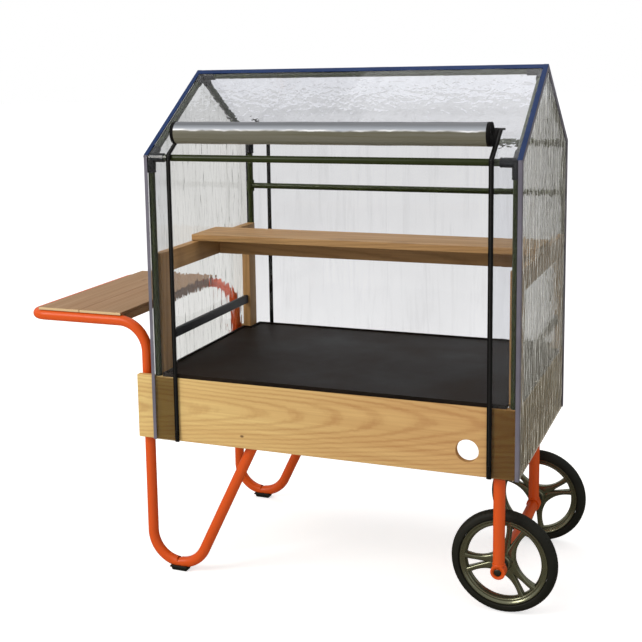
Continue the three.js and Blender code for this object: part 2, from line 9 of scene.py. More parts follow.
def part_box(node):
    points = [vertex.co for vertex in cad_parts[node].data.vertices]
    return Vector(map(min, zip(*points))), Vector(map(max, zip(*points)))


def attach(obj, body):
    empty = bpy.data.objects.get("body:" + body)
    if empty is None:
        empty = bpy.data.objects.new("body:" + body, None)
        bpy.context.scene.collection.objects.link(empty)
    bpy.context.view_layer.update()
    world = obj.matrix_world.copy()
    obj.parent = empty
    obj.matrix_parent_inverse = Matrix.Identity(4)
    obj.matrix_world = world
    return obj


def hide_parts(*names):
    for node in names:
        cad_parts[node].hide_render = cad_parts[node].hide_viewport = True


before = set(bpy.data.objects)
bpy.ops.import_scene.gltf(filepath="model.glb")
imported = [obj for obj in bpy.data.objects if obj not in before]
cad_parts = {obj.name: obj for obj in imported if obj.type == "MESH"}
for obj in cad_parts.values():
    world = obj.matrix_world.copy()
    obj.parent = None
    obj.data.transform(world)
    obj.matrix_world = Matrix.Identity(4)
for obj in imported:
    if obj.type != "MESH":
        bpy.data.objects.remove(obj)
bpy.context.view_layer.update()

bl_info = {
    "name": "Greenhouse cart",
    "version": (1, 0, 0),
    "blender": (4, 5, 0),
    "location": "View3D > Sidebar > Cart",
    "description": "Builds the finished pieces of a wheelbarrow-style greenhouse cart on its frame",
    "category": "Add Mesh",
}

GAP = 0.0003             # between pieces that touch
CHASSIS_WALL = 0.0015    # wall of the orange tubes
EYELET_HALF = 0.014      # half the width of the axle's eyelets
FRAME_WALL = 0.0012      # wall of the greenhouse tubes
SLEEVE_WALL = 0.003      # wall of the sleeves round the greenhouse tubes


# ---------------------------------------------------------------- settings
def tone(code):
    """Scene-linear colour of a six-figure sRGB code, by the sRGB curve."""
    values = np.array([int(code[i:i + 2], 16) for i in (0, 2, 4)]) / 255
    linear = np.where(values <= 0.04045, values / 12.92, ((values + 0.055) / 1.055) ** 2.4)
    return tuple(linear.tolist())


def length(name, description, default, **more):
    """A size in metres that a user can change."""
    return FloatProperty(
        name=name, description=description, default=default, unit="LENGTH", precision=4, **more
    )


def colour(name, description, code):
    """A colour that a user can change."""
    return FloatVectorProperty(
        name=name, description=description, subtype="COLOR", size=3, min=0, max=1,
        default=tone(code),
    )


class CartSizes(bpy.types.PropertyGroup):
    """Sizes that finish the frame's pieces. The frame itself gives every place."""

    tube_radius: length("Tube radius", "Outside radius of the chassis tubes", 0.014)
    bend_radius: length("Bend radius", "Centre line of the bends in the legs and handle", 0.080)
    corner_radius: length("Corner radius", "Centre line of the handle's two corners", 0.040)
    leg_slope: FloatProperty(
        name="Leg slope", description="Rise of the tube behind each foot",
        subtype="ANGLE", default=math.radians(64),
    )
    spigot: length("Spigot", "How far the handle tube plugs into the leg tubes", 0.040)
    frame_tube: length("Frame tube", "Outside diameter of the greenhouse tubes", 0.017)
    sleeve_length: length("Sleeve", "Connector sleeve from the connector's middle", 0.038)
    tube_stop: length("Tube stop", "Tube end from the connector's middle", 0.012)
    board_edge: length("Board edge", "Rounding on the edges of the boards", 0.0022)
    batten_edge: length("Batten edge", "Rounding on posts, rails and planks", 0.0015)
    film: length("Film", "Thickness of the clear film", 0.0009)
    ripple: length("Ripple", "Height of the film's soft waves", 0.0016)
    binding: length("Binding", "Width of the roof's edge strips", 0.009)
    ridge_strip: length("Ridge strip", "Width of each strip along the ridge", 0.017)
    trim: length("Trim", "Width of the weld strips on the end walls", 0.014)
    corner_trim: length("Corner trim", "Width of the weld strips on the long walls", 0.0065)
    zip_width: length("Zip width", "Width of the closed zip tape", 0.0125)
    tooth_pitch: length("Tooth pitch", "Distance between the zip's teeth", 0.004)
    door_top: length("Door top", "Door's top edge from the eaves, along the slope", 0.115)
    tread_depth: length("Tread depth", "Depth of the grooves in the tyres", 0.0013)
    tread_blocks: IntProperty(name="Tread blocks", description="Shoulder blocks round a tyre",
                              default=72, min=8)
    spoke_pairs: IntProperty(name="Spoke pairs", description="Pairs of spokes in a rim",
                             default=3, min=2)
    front_turn: FloatProperty(
        name="Front spokes", description="Direction of the front wheel's first pair of spokes",
        subtype="ANGLE", default=math.radians(190),
    )
    rear_turn: FloatProperty(
        name="Rear spokes", description="Direction of the rear wheel's first pair of spokes",
        subtype="ANGLE", default=math.radians(264),
    )
    hole_radius: length("Hole radius", "Radius of the hole in the front board", 0.027)
    hole_from_end: length("Hole from end", "Hole's middle from the board's right end", 0.117)
    hole_height: length("Hole height", "Hole's middle from the board's underside", 0.060)


class CartColours(bpy.types.PropertyGroup):
    """Colours of the cart's finishes."""

    paint: colour("Paint", "Orange enamel of the chassis", "e2560e")
    pine: colour("Pine", "Light wood of the box", "f0d48c")
    pine_dark: colour("Pine rings", "Late wood of the box", "bd8c50")
    frame_wood: colour("Frame wood", "Wood of the posts and rails", "c69c67")
    frame_wood_dark: colour("Frame wood rings", "Late wood of the posts and rails", "7f5d32")
    shelf_wood: colour("Side shelf", "Wood of the side shelf", "b28e68")
    shelf_wood_dark: colour("Side shelf rings", "Late wood of the side shelf", "8a6747")
    tray: colour("Tray", "Black plastic of the tray", "120e0b")
    rubber: colour("Rubber", "Tyres and foot pads", "17180f")
    rim: colour("Rim", "Gunmetal of the rims", "82836c")
    steel: colour("Steel", "Axle and spacers", "43443d")
    frame_tube: colour("Frame tube", "Dark tubes of the greenhouse", "2a3213")
    connector: colour("Connector", "Black plastic connectors", "15171a")
    film: colour("Film", "Clear film", "f1f2f5")
    binding: colour("Binding", "Edge strips of the roof", "1c325e")
    corner: colour("Corner", "Weld strips down the corners", "6d6a76")
    # Painted light and painted shade of the rolled film: a painted reflection on its top and
    # painted shade on its underside
    roll_painted_light: colour("Roll top", "Rolled film in the light", "b9bfc9")
    roll_painted_shade: colour("Roll underside", "Rolled film in the shade", "6a6756")
    zip: colour("Zip", "Tape, teeth and sliders", "0d0c0c")


# ---------------------------------------------------------------- surfaces
def unit(vectors):
    """Vectors divided by their own lengths."""
    return vectors / np.linalg.norm(vectors, axis=-1, keepdims=True)


def welded(points, faces, groups):
    """Points closer than a hundredth of a millimetre become one. A four-sided face that
    loses a corner becomes a triangle, whose fourth index is -1, and thinner ones go."""
    _, first, inverse = np.unique(
        np.round(points / 1e-5).astype(np.int64), axis=0, return_index=True, return_inverse=True
    )
    faces = inverse.reshape(-1)[faces]
    same = faces == np.roll(faces, -1, axis=1)
    opposite = (faces[:, 0] == faces[:, 2]) | (faces[:, 1] == faces[:, 3])
    count = same.sum(axis=1)
    whole = (count == 0) & ~opposite
    single = (count == 1) & ~opposite
    turned = (np.arange(4) + same[single].argmax(axis=1)[:, None] + 1) % 4
    corners = np.take_along_axis(faces[single], turned, axis=1)
    triangles = np.column_stack([corners[:, :3], np.full(len(corners), -1)])
    return (
        points[first],
        np.concatenate([faces[whole], triangles]),
        np.concatenate([groups[whole], groups[single]]),
    )


def outward(points, faces):
    """Faces turned so that the signed volume, a third of the sum of position dot area, is
    above zero."""
    a, b, c = (points[faces[:, i]] for i in range(3))
    d = points[np.where(faces[:, 3] < 0, faces[:, 2], faces[:, 3])]
    volume = (a * (np.cross(b, c) + np.cross(c, d))).sum()
    if volume > 0:
        return faces
    flipped = faces[:, [2, 1, 0, 3]]
    quads = faces[:, 3] >= 0
    flipped[quads] = faces[quads][:, ::-1]
    return flipped


def surface(rows, along=False):
    """Closed skin over a grid of points: each row is a ring, and neighbouring rows are joined.
    With along, the last row also joins the first, and otherwise both end rows are one point."""
    count, around = rows.shape[:2]
    index = np.arange(count * around).reshape(count, around)
    low, high = (index, np.roll(index, -1, axis=0)) if along else (index[:-1], index[1:])
    faces = np.stack([low, np.roll(low, -1, 1), np.roll(high, -1, 1), high], -1).reshape(-1, 4)
    groups = np.zeros(len(faces), int)
    points, faces, groups = welded(rows.reshape(-1, 3), faces, groups)
    return points, outward(points, faces), groups


def capped(rows):
    """The rows with the middle of each end row added as one more, so that a skin closes."""
    ends = [np.broadcast_to(row.mean(axis=0), row.shape)[None] for row in (rows[0], rows[-1])]
    return np.concatenate([ends[0], rows, ends[1]])


def sheet_skin(points, normals, keep, thickness):
    """Thin closed sheet: the grid of points is its outer side, the same grid moved inwards by
    the thickness its inner side, and a wall runs wherever a kept cell meets a missing one.
    Outer faces are group 0, inner faces and walls group 1."""
    count = points.shape[0] * points.shape[1]
    index = np.arange(count).reshape(points.shape[:2])
    cell = np.stack([index[:-1, :-1], index[1:, :-1], index[1:, 1:], index[:-1, 1:]], -1)
    parts = [cell[keep], cell[keep][:, ::-1] + count]
    empty = np.pad(~keep, 1, constant_values=True)
    beside = {
        (0, 1): empty[1:-1, :-2], (1, 2): empty[2:, 1:-1],
        (2, 3): empty[1:-1, 2:], (3, 0): empty[:-2, 1:-1],
    }
    for (start, end), missing in beside.items():
        edge = cell[keep & missing]
        a, b = edge[:, start], edge[:, end]
        parts.append(np.stack([b, a, a + count, b + count], -1))
    groups = np.concatenate([np.full(len(p), int(i > 0)) for i, p in enumerate(parts)])
    both = np.concatenate([points, points - normals * thickness]).reshape(-1, 3)
    both, faces, groups = welded(both, np.concatenate(parts), groups)
    return both, outward(both, faces), groups


def rounded_path(corners, radii, step=math.radians(4)):
    """Straight runs joined by arcs: an arc leaves a run at radius times the tangent of half
    the turn before the corner, and bends at the same radius until it meets the next run."""
    corners = np.array(corners, float)
    points = [corners[:1]]
    for before, corner, after, radius in zip(corners, corners[1:], corners[2:], radii):
        into, out = unit(corner - before), unit(after - corner)
        turn = math.acos(float(into @ out))
        start = corner - into * radius * math.tan(turn / 2)
        inwards = unit(out - into * (into @ out))
        angle = np.linspace(0, turn, math.ceil(turn / step) + 1)[:, None]
        points.append(start + radius * (np.sin(angle) * into + (1 - np.cos(angle)) * inwards))
    points.append(corners[-1:])
    return np.concatenate(points)


def path_frames(points):
    """Distance, tangent and two cross directions at each point. The first cross direction is
    carried along the path by taking off its share of each new tangent."""
    steps = np.diff(points, axis=0)
    runs = unit(steps)
    tangents = unit(np.concatenate([runs[:1], runs[:-1] + runs[1:], runs[-1:]]))
    across = np.eye(3)[np.abs(tangents[0]).argmin()]
    sides = []
    for tangent in tangents:
        across = unit(across - tangent * (across @ tangent))
        sides.append(across)
    sides = np.array(sides)
    distance = np.concatenate([[0], np.cumsum(np.linalg.norm(steps, axis=1))])
    return distance, tangents, sides, np.cross(tangents, sides)


def round_along(points, profile, sides=32):
    """Round skin along a path. The profile lists distance along the path and radius; it may
    turn back on itself to make a bore."""
    distance, _, side, up = path_frames(points)
    along, radius = np.array(profile, float).T

    def at(values):
        return np.stack([np.interp(along, distance, values[:, i]) for i in range(3)], -1)

    angle = np.linspace(0, 2 * math.pi, sides, endpoint=False)[None, :, None]
    ring = np.cos(angle) * at(side)[:, None] + np.sin(angle) * at(up)[:, None]
    return surface(at(points)[:, None] + radius[:, None, None] * ring)


def tube_profile(points, radius, bore, depth=0.012, lip=0.0006):
    """Profile of a tube with a rounded lip and a short open bore at each end, and a station at
    each point of its path."""
    distance = path_frames(points)[0]
    total = distance[-1]
    start = [(depth, 0), (depth, bore), (lip, bore), (0, bore + lip), (0, radius - lip)]
    inner = distance[(distance > 2 * lip) & (distance < total - 2 * lip)]
    middle = [(lip, radius), *((d, radius) for d in inner), (total - lip, radius)]
    return [*start, *middle, *((total - d, r) for d, r in reversed(start))]


def tube(points, radius, bore):
    """Round tube along a path, with open ends."""
    return round_along(points, tube_profile(points, radius, bore))


def turned(profile, centre, segments=64, along=False, shape=None):
    """Skin turned about a line through the centre that runs along Y. The profile lists radius
    and distance along the line. Shape may change the radii by angle and distance."""
    radius, y = (column[:, None] for column in np.array(profile, float).T)
    angle = np.linspace(0, 2 * math.pi, segments, endpoint=False)[None]
    if shape is not None:
        radius = radius + shape(angle, y, radius)
    grid = np.stack(np.broadcast_arrays(radius * np.cos(angle), y, radius * np.sin(angle)), -1)
    return surface(grid + np.array(centre), along)


def corner_columns(half, edge, steps):
    """The corners of a rectangle that is edge smaller all round, and the directions that turn
    a quarter at each of them."""
    quarter = np.repeat(np.arange(4), steps + 1)
    angle = quarter * math.pi / 2 + np.tile(np.linspace(0, math.pi / 2, steps + 1), 4)
    signs = np.array([[1, 1], [-1, 1], [-1, -1], [1, -1]])[quarter]
    return signs * (np.array(half) - edge), np.stack([np.cos(angle), np.sin(angle)], -1)


def edge_rows(inset, normal, half_depth, edge, steps):
    """Rows that go over a rounded edge, down the side and over the next edge: the inset
    outline plus the edge radius times sine, at half the depth less edge times one less cosine."""
    bend = np.linspace(0, math.pi / 2, steps + 1)
    bend = np.concatenate([bend, math.pi - bend[::-1]])[:, None, None]
    plan = inset[None] + edge * np.sin(bend) * normal[None]
    height = np.where(bend <= math.pi / 2, half_depth - edge, edge - half_depth)
    height = height + edge * np.cos(bend)
    return np.concatenate([plan, np.broadcast_to(height, (*plan.shape[:2], 1))], -1)


def placed(rows, lo, hi):
    """Rows made with their flat faces across the third axis, laid so that this is Y, and
    moved to the middle of the box."""
    return rows[..., [0, 2, 1]] + (np.array(lo) + np.array(hi)) / 2


def block(lo, hi, edge, steps=3, taper=0.0):
    """Box with rounded edges. Taper narrows its foot on each side by that length."""
    size = (np.array(hi) - np.array(lo)) / 2
    inset, normal = corner_columns((size[0], size[2]), edge, steps)
    rows = placed(capped(edge_rows(inset, normal, size[1], edge, steps)), lo, hi)
    if taper:
        middle = (np.array(lo) + np.array(hi)) / 2
        low = (hi[2] - rows[..., 2:]) / (hi[2] - lo[2])
        rows[..., :2] = middle[:2] + (rows[..., :2] - middle[:2]) * (1 - low * taper / size[:2])
    return surface(rows)


def drilled_board(lo, hi, edge, hole, radius, steps=3, spokes=72):
    """Board with rounded edges and a round hole through its flat faces. Columns are rays from
    the hole's middle: each flat face runs from the hole out to the outline, and the rows go
    over the board's edge, along its back, over the hole's lip and through the hole."""
    size, middle = (np.array(hi) - np.array(lo)) / 2, (np.array(lo) + np.array(hi)) / 2
    half, centre = size[[0, 2]] - edge, np.array(hole) - middle[[0, 2]]
    corner, corner_normal = corner_columns(size[[0, 2]], edge, steps)
    corner_angle = np.arctan2(*(corner - centre).T[::-1])
    angle = np.linspace(-math.pi, math.pi, spokes, endpoint=False)
    angle = angle[np.abs(angle[:, None] - corner_angle).min(axis=1) > 0.01]
    ray = np.stack([np.cos(angle), np.sin(angle)], -1)
    level = np.abs(ray) < 1e-6
    reach = (np.sign(ray) * half - centre) / np.where(level, 1, ray)
    reach = np.where(level, np.inf, reach)
    first = reach.argmin(axis=1)
    outline = centre + ray * reach.min(axis=1)[:, None]
    normal = np.sign(ray) * (np.arange(2) == first[:, None])
    turn = np.concatenate([corner_angle, angle])
    order = np.argsort(turn + np.concatenate([np.arange(len(corner)) * 1e-9, np.zeros(len(angle))]))
    inset = np.concatenate([corner, outline])[order]
    normal = np.concatenate([corner_normal, normal])[order]
    spoke = np.stack([np.cos(turn[order]), np.sin(turn[order])], -1)
    outer = edge_rows(inset, normal, size[1], edge, steps)
    lip = edge_rows(centre + spoke * (radius + edge), -spoke, size[1], edge, steps)
    rows = np.concatenate([outer, lip[::-1]])
    return surface(placed(rows, lo, hi), along=True)


def ribbon(points, side, width, thickness, swell=None, sides=16):
    """Flat strip along a path: its section is a rounded rectangle, a circle whose sine and
    cosine are raised to a low power. Swell multiplies the section at each point."""
    tangents = path_frames(points)[1]
    across = np.broadcast_to(np.array(side, float), points.shape)
    up = unit(np.cross(tangents, across))
    angle = np.linspace(0, 2 * math.pi, sides, endpoint=False)
    wide, tall = np.cos(angle), np.sin(angle)
    section = np.stack([
        np.sign(wide) * np.abs(wide) ** 0.3 * width / 2,
        np.sign(tall) * np.abs(tall) ** 0.6 * thickness / 2,
    ], -1)
    scale = np.ones(len(points)) if swell is None else swell
    offset = section[None] * scale[:, None, None]
    rows = points[:, None] + offset[..., :1] * across[:, None] + offset[..., 1:] * up[:, None]
    return surface(capped(rows))


def stretch(*marks, step=0.02):
    """Numbers from the first mark to the last that include every mark, evenly spaced between
    two marks and no more than step apart."""
    parts = [
        np.linspace(a, b, max(2, math.ceil((b - a) / step) + 1))[:-1]
        for a, b in zip(marks, marks[1:])
    ]
    return np.concatenate([*parts, [marks[-1]]])


def waves(u, v, seed):
    """Soft waves between 0 and 1: three sines of mixed directions, added and scaled."""
    total = np.sin(21 * u + 2.4 * np.sin(5 * v + seed)) + np.sin(9 * v + 3 * np.sin(4 * u) + seed)
    return (total + np.sin(37 * u - 11 * v + 2 * seed) + 3) / 6


# ---------------------------------------------------------------- pieces
def area_normals(mesh):
    """Vertex normals that are the sum of the face normals times the face areas, so a large
    flat face stays flat beside its narrow rounded edges."""
    count, loops = len(mesh.polygons), len(mesh.loops)
    normal, area = np.zeros(count * 3), np.zeros(count)
    corner, sides = np.zeros(loops, int), np.zeros(count, int)
    mesh.polygons.foreach_get("normal", normal)
    mesh.polygons.foreach_get("area", area)
    mesh.polygons.foreach_get("loop_total", sides)
    mesh.loops.foreach_get("vertex_index", corner)
    weighted = np.repeat(normal.reshape(-1, 3) * area[:, None], sides, axis=0)
    total = np.zeros((len(mesh.vertices), 3))
    np.add.at(total, corner, weighted)
    size = np.linalg.norm(total, axis=1, keepdims=True)
    return total / np.where(size > 0, size, 1)


def mesh_of(name, points, faces):
    """Mesh of points and four-sided faces. A fourth index below zero marks a triangle."""
    mesh = bpy.data.meshes.new(name)
    mesh.from_pydata(points.tolist(), [], [f[:3] if f[3] < 0 else f for f in faces.tolist()])
    return mesh


def piece(name, skins, materials, replaces=(), body="cart"):
    """One mesh object of one or more closed skins, on its body and in its material slot."""
    points, faces, groups, start = [], [], [], 0
    for skin_points, skin_faces, skin_groups in skins:
        points.append(skin_points)
        faces.append(np.where(skin_faces < 0, -1, skin_faces + start))
        groups.append(skin_groups)
        start += len(skin_points)
    mesh = mesh_of(name, np.concatenate(points), np.concatenate(faces))
    for material in materials if isinstance(materials, list) else [materials]:
        mesh.materials.append(material)
    mesh.polygons.foreach_set("material_index", np.concatenate(groups).astype(np.int32))
    mesh.polygons.foreach_set("use_smooth", np.ones(len(mesh.polygons), bool))
    mesh.update()
    mesh.normals_split_custom_set_from_vertices(area_normals(mesh).tolist())
    obj = bpy.data.objects.new(name, mesh)
    bpy.context.scene.collection.objects.link(obj)
    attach(obj, body)
    if replaces:
        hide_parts(*replaces)
    return obj


def box(node):
    """Lower and upper corner of a piece of the frame."""
    lo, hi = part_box(node)
    return np.array(lo), np.array(hi)


def middle(node):
    """Middle of a piece of the frame."""
    lo, hi = box(node)
    return (lo + hi) / 2


# ---------------------------------------------------------------- materials
class Nodes:
    """A node tree that is built step by step: add makes a node, sets its plain inputs and
    links the others, and gives its first output unless another is named."""

    def __init__(self, tree):
        self.tree = tree
        tree.nodes.clear()

    def add(self, kind, output=0, inputs=None, **settings):
        node = self.tree.nodes.new(kind)
        for key, value in settings.items():
            setattr(node, key, value)
        for key, value in (inputs or {}).items():
            socket = node.inputs[key]
            if isinstance(value, bpy.types.NodeSocket):
                self.tree.links.new(value, socket)
            elif socket.type == "RGBA":
                socket.default_value = (*value[:3], 1)
            else:
                socket.default_value = value
        return node.outputs[output] if len(node.outputs) else node

    def effect(self, tree, **inputs):
        """A node group with those inputs. Gives its outputs, by name."""
        return self.add("ShaderNodeGroup", 0, inputs, node_tree=tree).node.outputs

    def noise(self, vector, scale, detail=4.0, roughness=0.55, distortion=0.0):
        return self.add("ShaderNodeTexNoise", 0, {
            "Vector": vector, "Scale": scale, "Detail": detail,
            "Roughness": roughness, "Distortion": distortion,
        })

    def remap(self, value, low, high, to_low=0.0, to_high=1.0):
        return self.add("ShaderNodeMapRange", 0, {
            "Value": value, "From Min": low, "From Max": high,
            "To Min": to_low, "To Max": to_high,
        })

    def math(self, operation, a, b=0.0):
        return self.add("ShaderNodeMath", 0, {0: a, 1: b}, operation=operation)

    def mix(self, factor, a, b, blend="MIX"):
        return self.add(
            "ShaderNodeMix", 2, {0: factor, 6: a, 7: b}, data_type="RGBA", blend_type=blend
        )

    def mapped(self, vector, scale=(1, 1, 1), turn=(0, 0, 0), move=(0, 0, 0)):
        return self.add("ShaderNodeMapping", 0, {
            "Vector": vector, "Location": move, "Rotation": turn, "Scale": scale,
        })

    def place(self):
        return self.add("ShaderNodeTexCoord", "Object")

    def bump(self, height, distance, strength=1.0):
        return self.add("ShaderNodeBump", 0, {
            "Height": height, "Distance": distance, "Strength": strength,
        })


def group(name, inputs, outputs, build):
    """The shader node group of that name, built the first time that it is asked for. Inputs
    and outputs list socket names and kinds."""
    if name in bpy.data.node_groups:
        return bpy.data.node_groups[name]
    tree = bpy.data.node_groups.new(name, "ShaderNodeTree")
    nodes = Nodes(tree)
    for direction, sockets in (("INPUT", inputs), ("OUTPUT", outputs)):
        for socket, kind in sockets:
            tree.interface.new_socket(
                name=socket, in_out=direction, socket_type=f"NodeSocket{kind}"
            )
    start = tree.nodes.new("NodeGroupInput")
    end = tree.nodes.new("NodeGroupOutput")
    results = build(nodes, {socket: start.outputs[socket] for socket, _ in inputs})
    for socket, value in results.items():
        tree.links.new(value, end.inputs[socket])
    return tree


def grain_group():
    """Wood: rings about a line that leans away from the board's face, so that they cross it
    as long arches, plus fine fibres along the grain and small knots."""

    def build(nodes, given):
        vector = given["Vector"]
        soft = nodes.noise(nodes.mapped(vector, (1.6, 9, 9)), 1.0, 3.0)
        bent = nodes.add("ShaderNodeVectorMath", 0, {
            0: vector, 1: nodes.add("ShaderNodeVectorMath", 0, {
                0: nodes.add("ShaderNodeTexNoise", 1, {
                    "Vector": nodes.mapped(vector, (1.1, 5, 5)), "Scale": 1.0, "Detail": 2.0,
                }), 1: (0.03, 0.03, 0.03),
            }, operation="MULTIPLY"),
        }, operation="ADD")
        leaning = nodes.mapped(bent, turn=(0, math.radians(2.6), math.radians(3.4)))
        rings = nodes.add("ShaderNodeTexWave", 1, {
            "Vector": leaning, "Scale": given["Rings"], "Distortion": 1.2,
            "Detail": 2.0, "Detail Scale": 1.5,
        }, wave_type="RINGS", rings_direction="X")
        late = nodes.math("POWER", rings, 2.6)
        fibre = nodes.noise(nodes.mapped(vector, (5, 260, 260)), 1.0, 3.0, 0.7)
        streak = nodes.noise(nodes.mapped(vector, (2.2, 60, 60)), 1.0, 4.0, 0.6)
        knots = nodes.add("ShaderNodeTexVoronoi", 0, {
            "Vector": nodes.mapped(vector, (3.1, 11, 11)), "Scale": 1.0, "Randomness": 1.0,
        })
        knot = nodes.remap(knots, 0.035, 0.075, 1.0, 0.0)
        tone_mask = nodes.math("ADD", nodes.math("MULTIPLY", late, 0.36),
                               nodes.remap(streak, 0.35, 0.75, 0.0, 0.5))
        blended = nodes.mix(tone_mask, given["Light"], given["Dark"])
        warm = nodes.mix(nodes.remap(soft, 0.3, 0.7, 0.0, 0.32), blended, given["Warm"])
        fine = nodes.mix(nodes.remap(fibre, 0.3, 0.8, 0.0, 0.30), warm, given["Dark"])
        knotted = nodes.mix(nodes.math("MULTIPLY", knot, 0.75), fine, (0.07, 0.025, 0.01))
        height = nodes.math("ADD", nodes.math("MULTIPLY", fibre, 0.6),
                            nodes.math("MULTIPLY", late, 0.4))
        return {
            "Color": knotted, "Height": height,
            "Roughness": nodes.remap(streak, 0.3, 0.8, 0.46, 0.66),
        }

    return group(
        "Wood grain",
        [("Vector", "Vector"), ("Rings", "Float"), ("Light", "Color"), ("Dark", "Color"),
         ("Warm", "Color")],
        [("Color", "Color"), ("Height", "Float"), ("Roughness", "Float")],
        build,
    )


def surface_group():
    """Handled surface: broad patches and fine specks from two noises, as a mask each, and a
    fine height."""

    def build(nodes, given):
        patches = nodes.noise(given["Vector"], given["Patches"], 5.0, 0.6)
        specks = nodes.noise(given["Vector"], given["Specks"], 3.0, 0.5)
        return {
            "Patch": nodes.remap(patches, 0.35, 0.7), "Speck": nodes.remap(specks, 0.3, 0.7),
            "Height": specks,
        }

    return group(
        "Handled surface", [("Vector", "Vector"), ("Patches", "Float"), ("Specks", "Float")],
        [("Patch", "Float"), ("Speck", "Float"), ("Height", "Float")], build,
    )


def film_group():
    """Clear film: long soft folds down the sheet and small dimples as a height, and a milky
    veil in streaks."""

    def build(nodes, given):
        vector = given["Vector"]
        folds = nodes.noise(nodes.mapped(vector, (56, 56, 14)), 1.0, 1.2, 0.5, 0.3)
        dimples = nodes.noise(nodes.mapped(vector, (9, 9, 7)), 1.0, 2.0)
        streaks = nodes.noise(nodes.mapped(vector, (46, 46, 3.4)), 1.0, 5.0, 0.62, 0.6)
        clouds = nodes.noise(nodes.mapped(vector, (3.2, 3.2, 2.4)), 1.0, 4.0, 0.6)
        veil = nodes.math("ADD", nodes.remap(streaks, 0.5, 0.78, 0.0, 0.7),
                          nodes.remap(clouds, 0.42, 0.7, 0.0, 0.45))
        height = nodes.math("ADD", nodes.math("MULTIPLY", folds, given["Folds"]),
                            nodes.math("MULTIPLY", dimples, 0.6))
        return {"Height": height, "Veil": veil}

    return group(
        "Clear film", [("Vector", "Vector"), ("Folds", "Float")],
        [("Height", "Float"), ("Veil", "Float")], build,
    )


def material(name, build):
    """The material of that name, built the first time that it is asked for. Build gets its
    nodes and returns the shader."""
    found = bpy.data.materials.get(name)
    if found:
        return found
    made = bpy.data.materials.new(name)
    made.use_nodes = True
    nodes = Nodes(made.node_tree)
    shader = build(nodes)
    nodes.add("ShaderNodeOutputMaterial", inputs={"Surface": shader})
    return made


def principled(nodes, **inputs):
    """A Principled shader: base_color sets Base Color, and so on."""
    names = {
        key.replace("_", " ").title().replace("Ior", "IOR"): value
        for key, value in inputs.items()
    }
    return nodes.add("ShaderNodeBsdfPrincipled", 0, names)


def handled(nodes, patches, specks):
    """The three masks of the handled surface, at those scales."""
    made = nodes.effect(surface_group(), Vector=nodes.place(), Patches=patches, Specks=specks)
    return made["Patch"], made["Speck"], made["Height"]


def moulded(name, base, rough, patches, specks, depth, worn=0.25, lighter=1.8, **more):
    """Paint, plastic, rubber or metal of one colour: patches vary it towards a lighter tone,
    specks vary the gloss, and the fine height gives the surface its tooth."""

    def build(nodes):
        patch, speck, height = handled(nodes, patches, specks)
        light = tuple(min(1.0, value * lighter + 0.004) for value in base)
        return principled(
            nodes,
            base_color=nodes.mix(nodes.math("MULTIPLY", patch, worn), base, light),
            roughness=nodes.remap(speck, 0.0, 1.0, rough * 0.85, min(1.0, rough * 1.25)),
            normal=nodes.bump(height, depth), **more,
        )

    return material(name, build)


# Turns of the grain's own X axis, which runs along the fibres, onto each axis of the cart.
WOOD_TURNS = {
    "x": (0, 0, 0),
    "y": (0, 0, math.radians(-90)),
    "z": (0, math.radians(90), 0),
}


def wood(name, light, dark, grain="x", rings=26.0, shift=(0, 0, 0), end_light=None,
         painted_shade_span=None, knot=None):
    """Planed wood with its grain along one axis. End light brightens the sawn ends. A
    painted_shade_span gives the two places along X between which painted shade darkens the wood
    and turns it redder. Knot is the middle of a small knot in a face that looks along Y."""

    def build(nodes):
        vector = nodes.mapped(nodes.place(), turn=WOOD_TURNS[grain], move=shift)
        warm = (light[0] * 0.98, light[1] * 0.84, light[2] * 0.78)
        made = nodes.effect(grain_group(), Vector=vector, Rings=rings, Light=light, Dark=dark,
                            Warm=warm)
        base = made["Color"]
        # Painted shade: darker and redder towards +X, away from the key light on the left
        if painted_shade_span:
            along = nodes.add("ShaderNodeSeparateXYZ", 0, {0: nodes.place()})
            painted_shade_mask = nodes.remap(along, *painted_shade_span, 0.0, 0.75)
            base = nodes.mix(painted_shade_mask, base, (0.80, 0.62, 0.62), "MULTIPLY")
        if knot:
            near = nodes.add("ShaderNodeVectorMath", 1, {
                0: nodes.mapped(nodes.place(), (1, 0, 1.5)), 1: (knot[0], 0, 1.5 * knot[1]),
            }, operation="DISTANCE")
            base = nodes.mix(nodes.remap(near, 0.003, 0.0065, 0.8, 0.0), base, (0.09, 0.03, 0.01))
        if end_light:
            normal = nodes.add("ShaderNodeNewGeometry", "Normal")
            sides = nodes.add("ShaderNodeSeparateXYZ", 1, {0: normal})
            facing = nodes.remap(nodes.math("ABSOLUTE", sides), 0.6, 0.9)
            base = nodes.mix(facing, base, end_light)
        return principled(
            nodes, base_color=base, roughness=made["Roughness"],
            normal=nodes.bump(made["Height"], 0.00025), specular_ior_level=0.35,
        )

    return material(name, build)


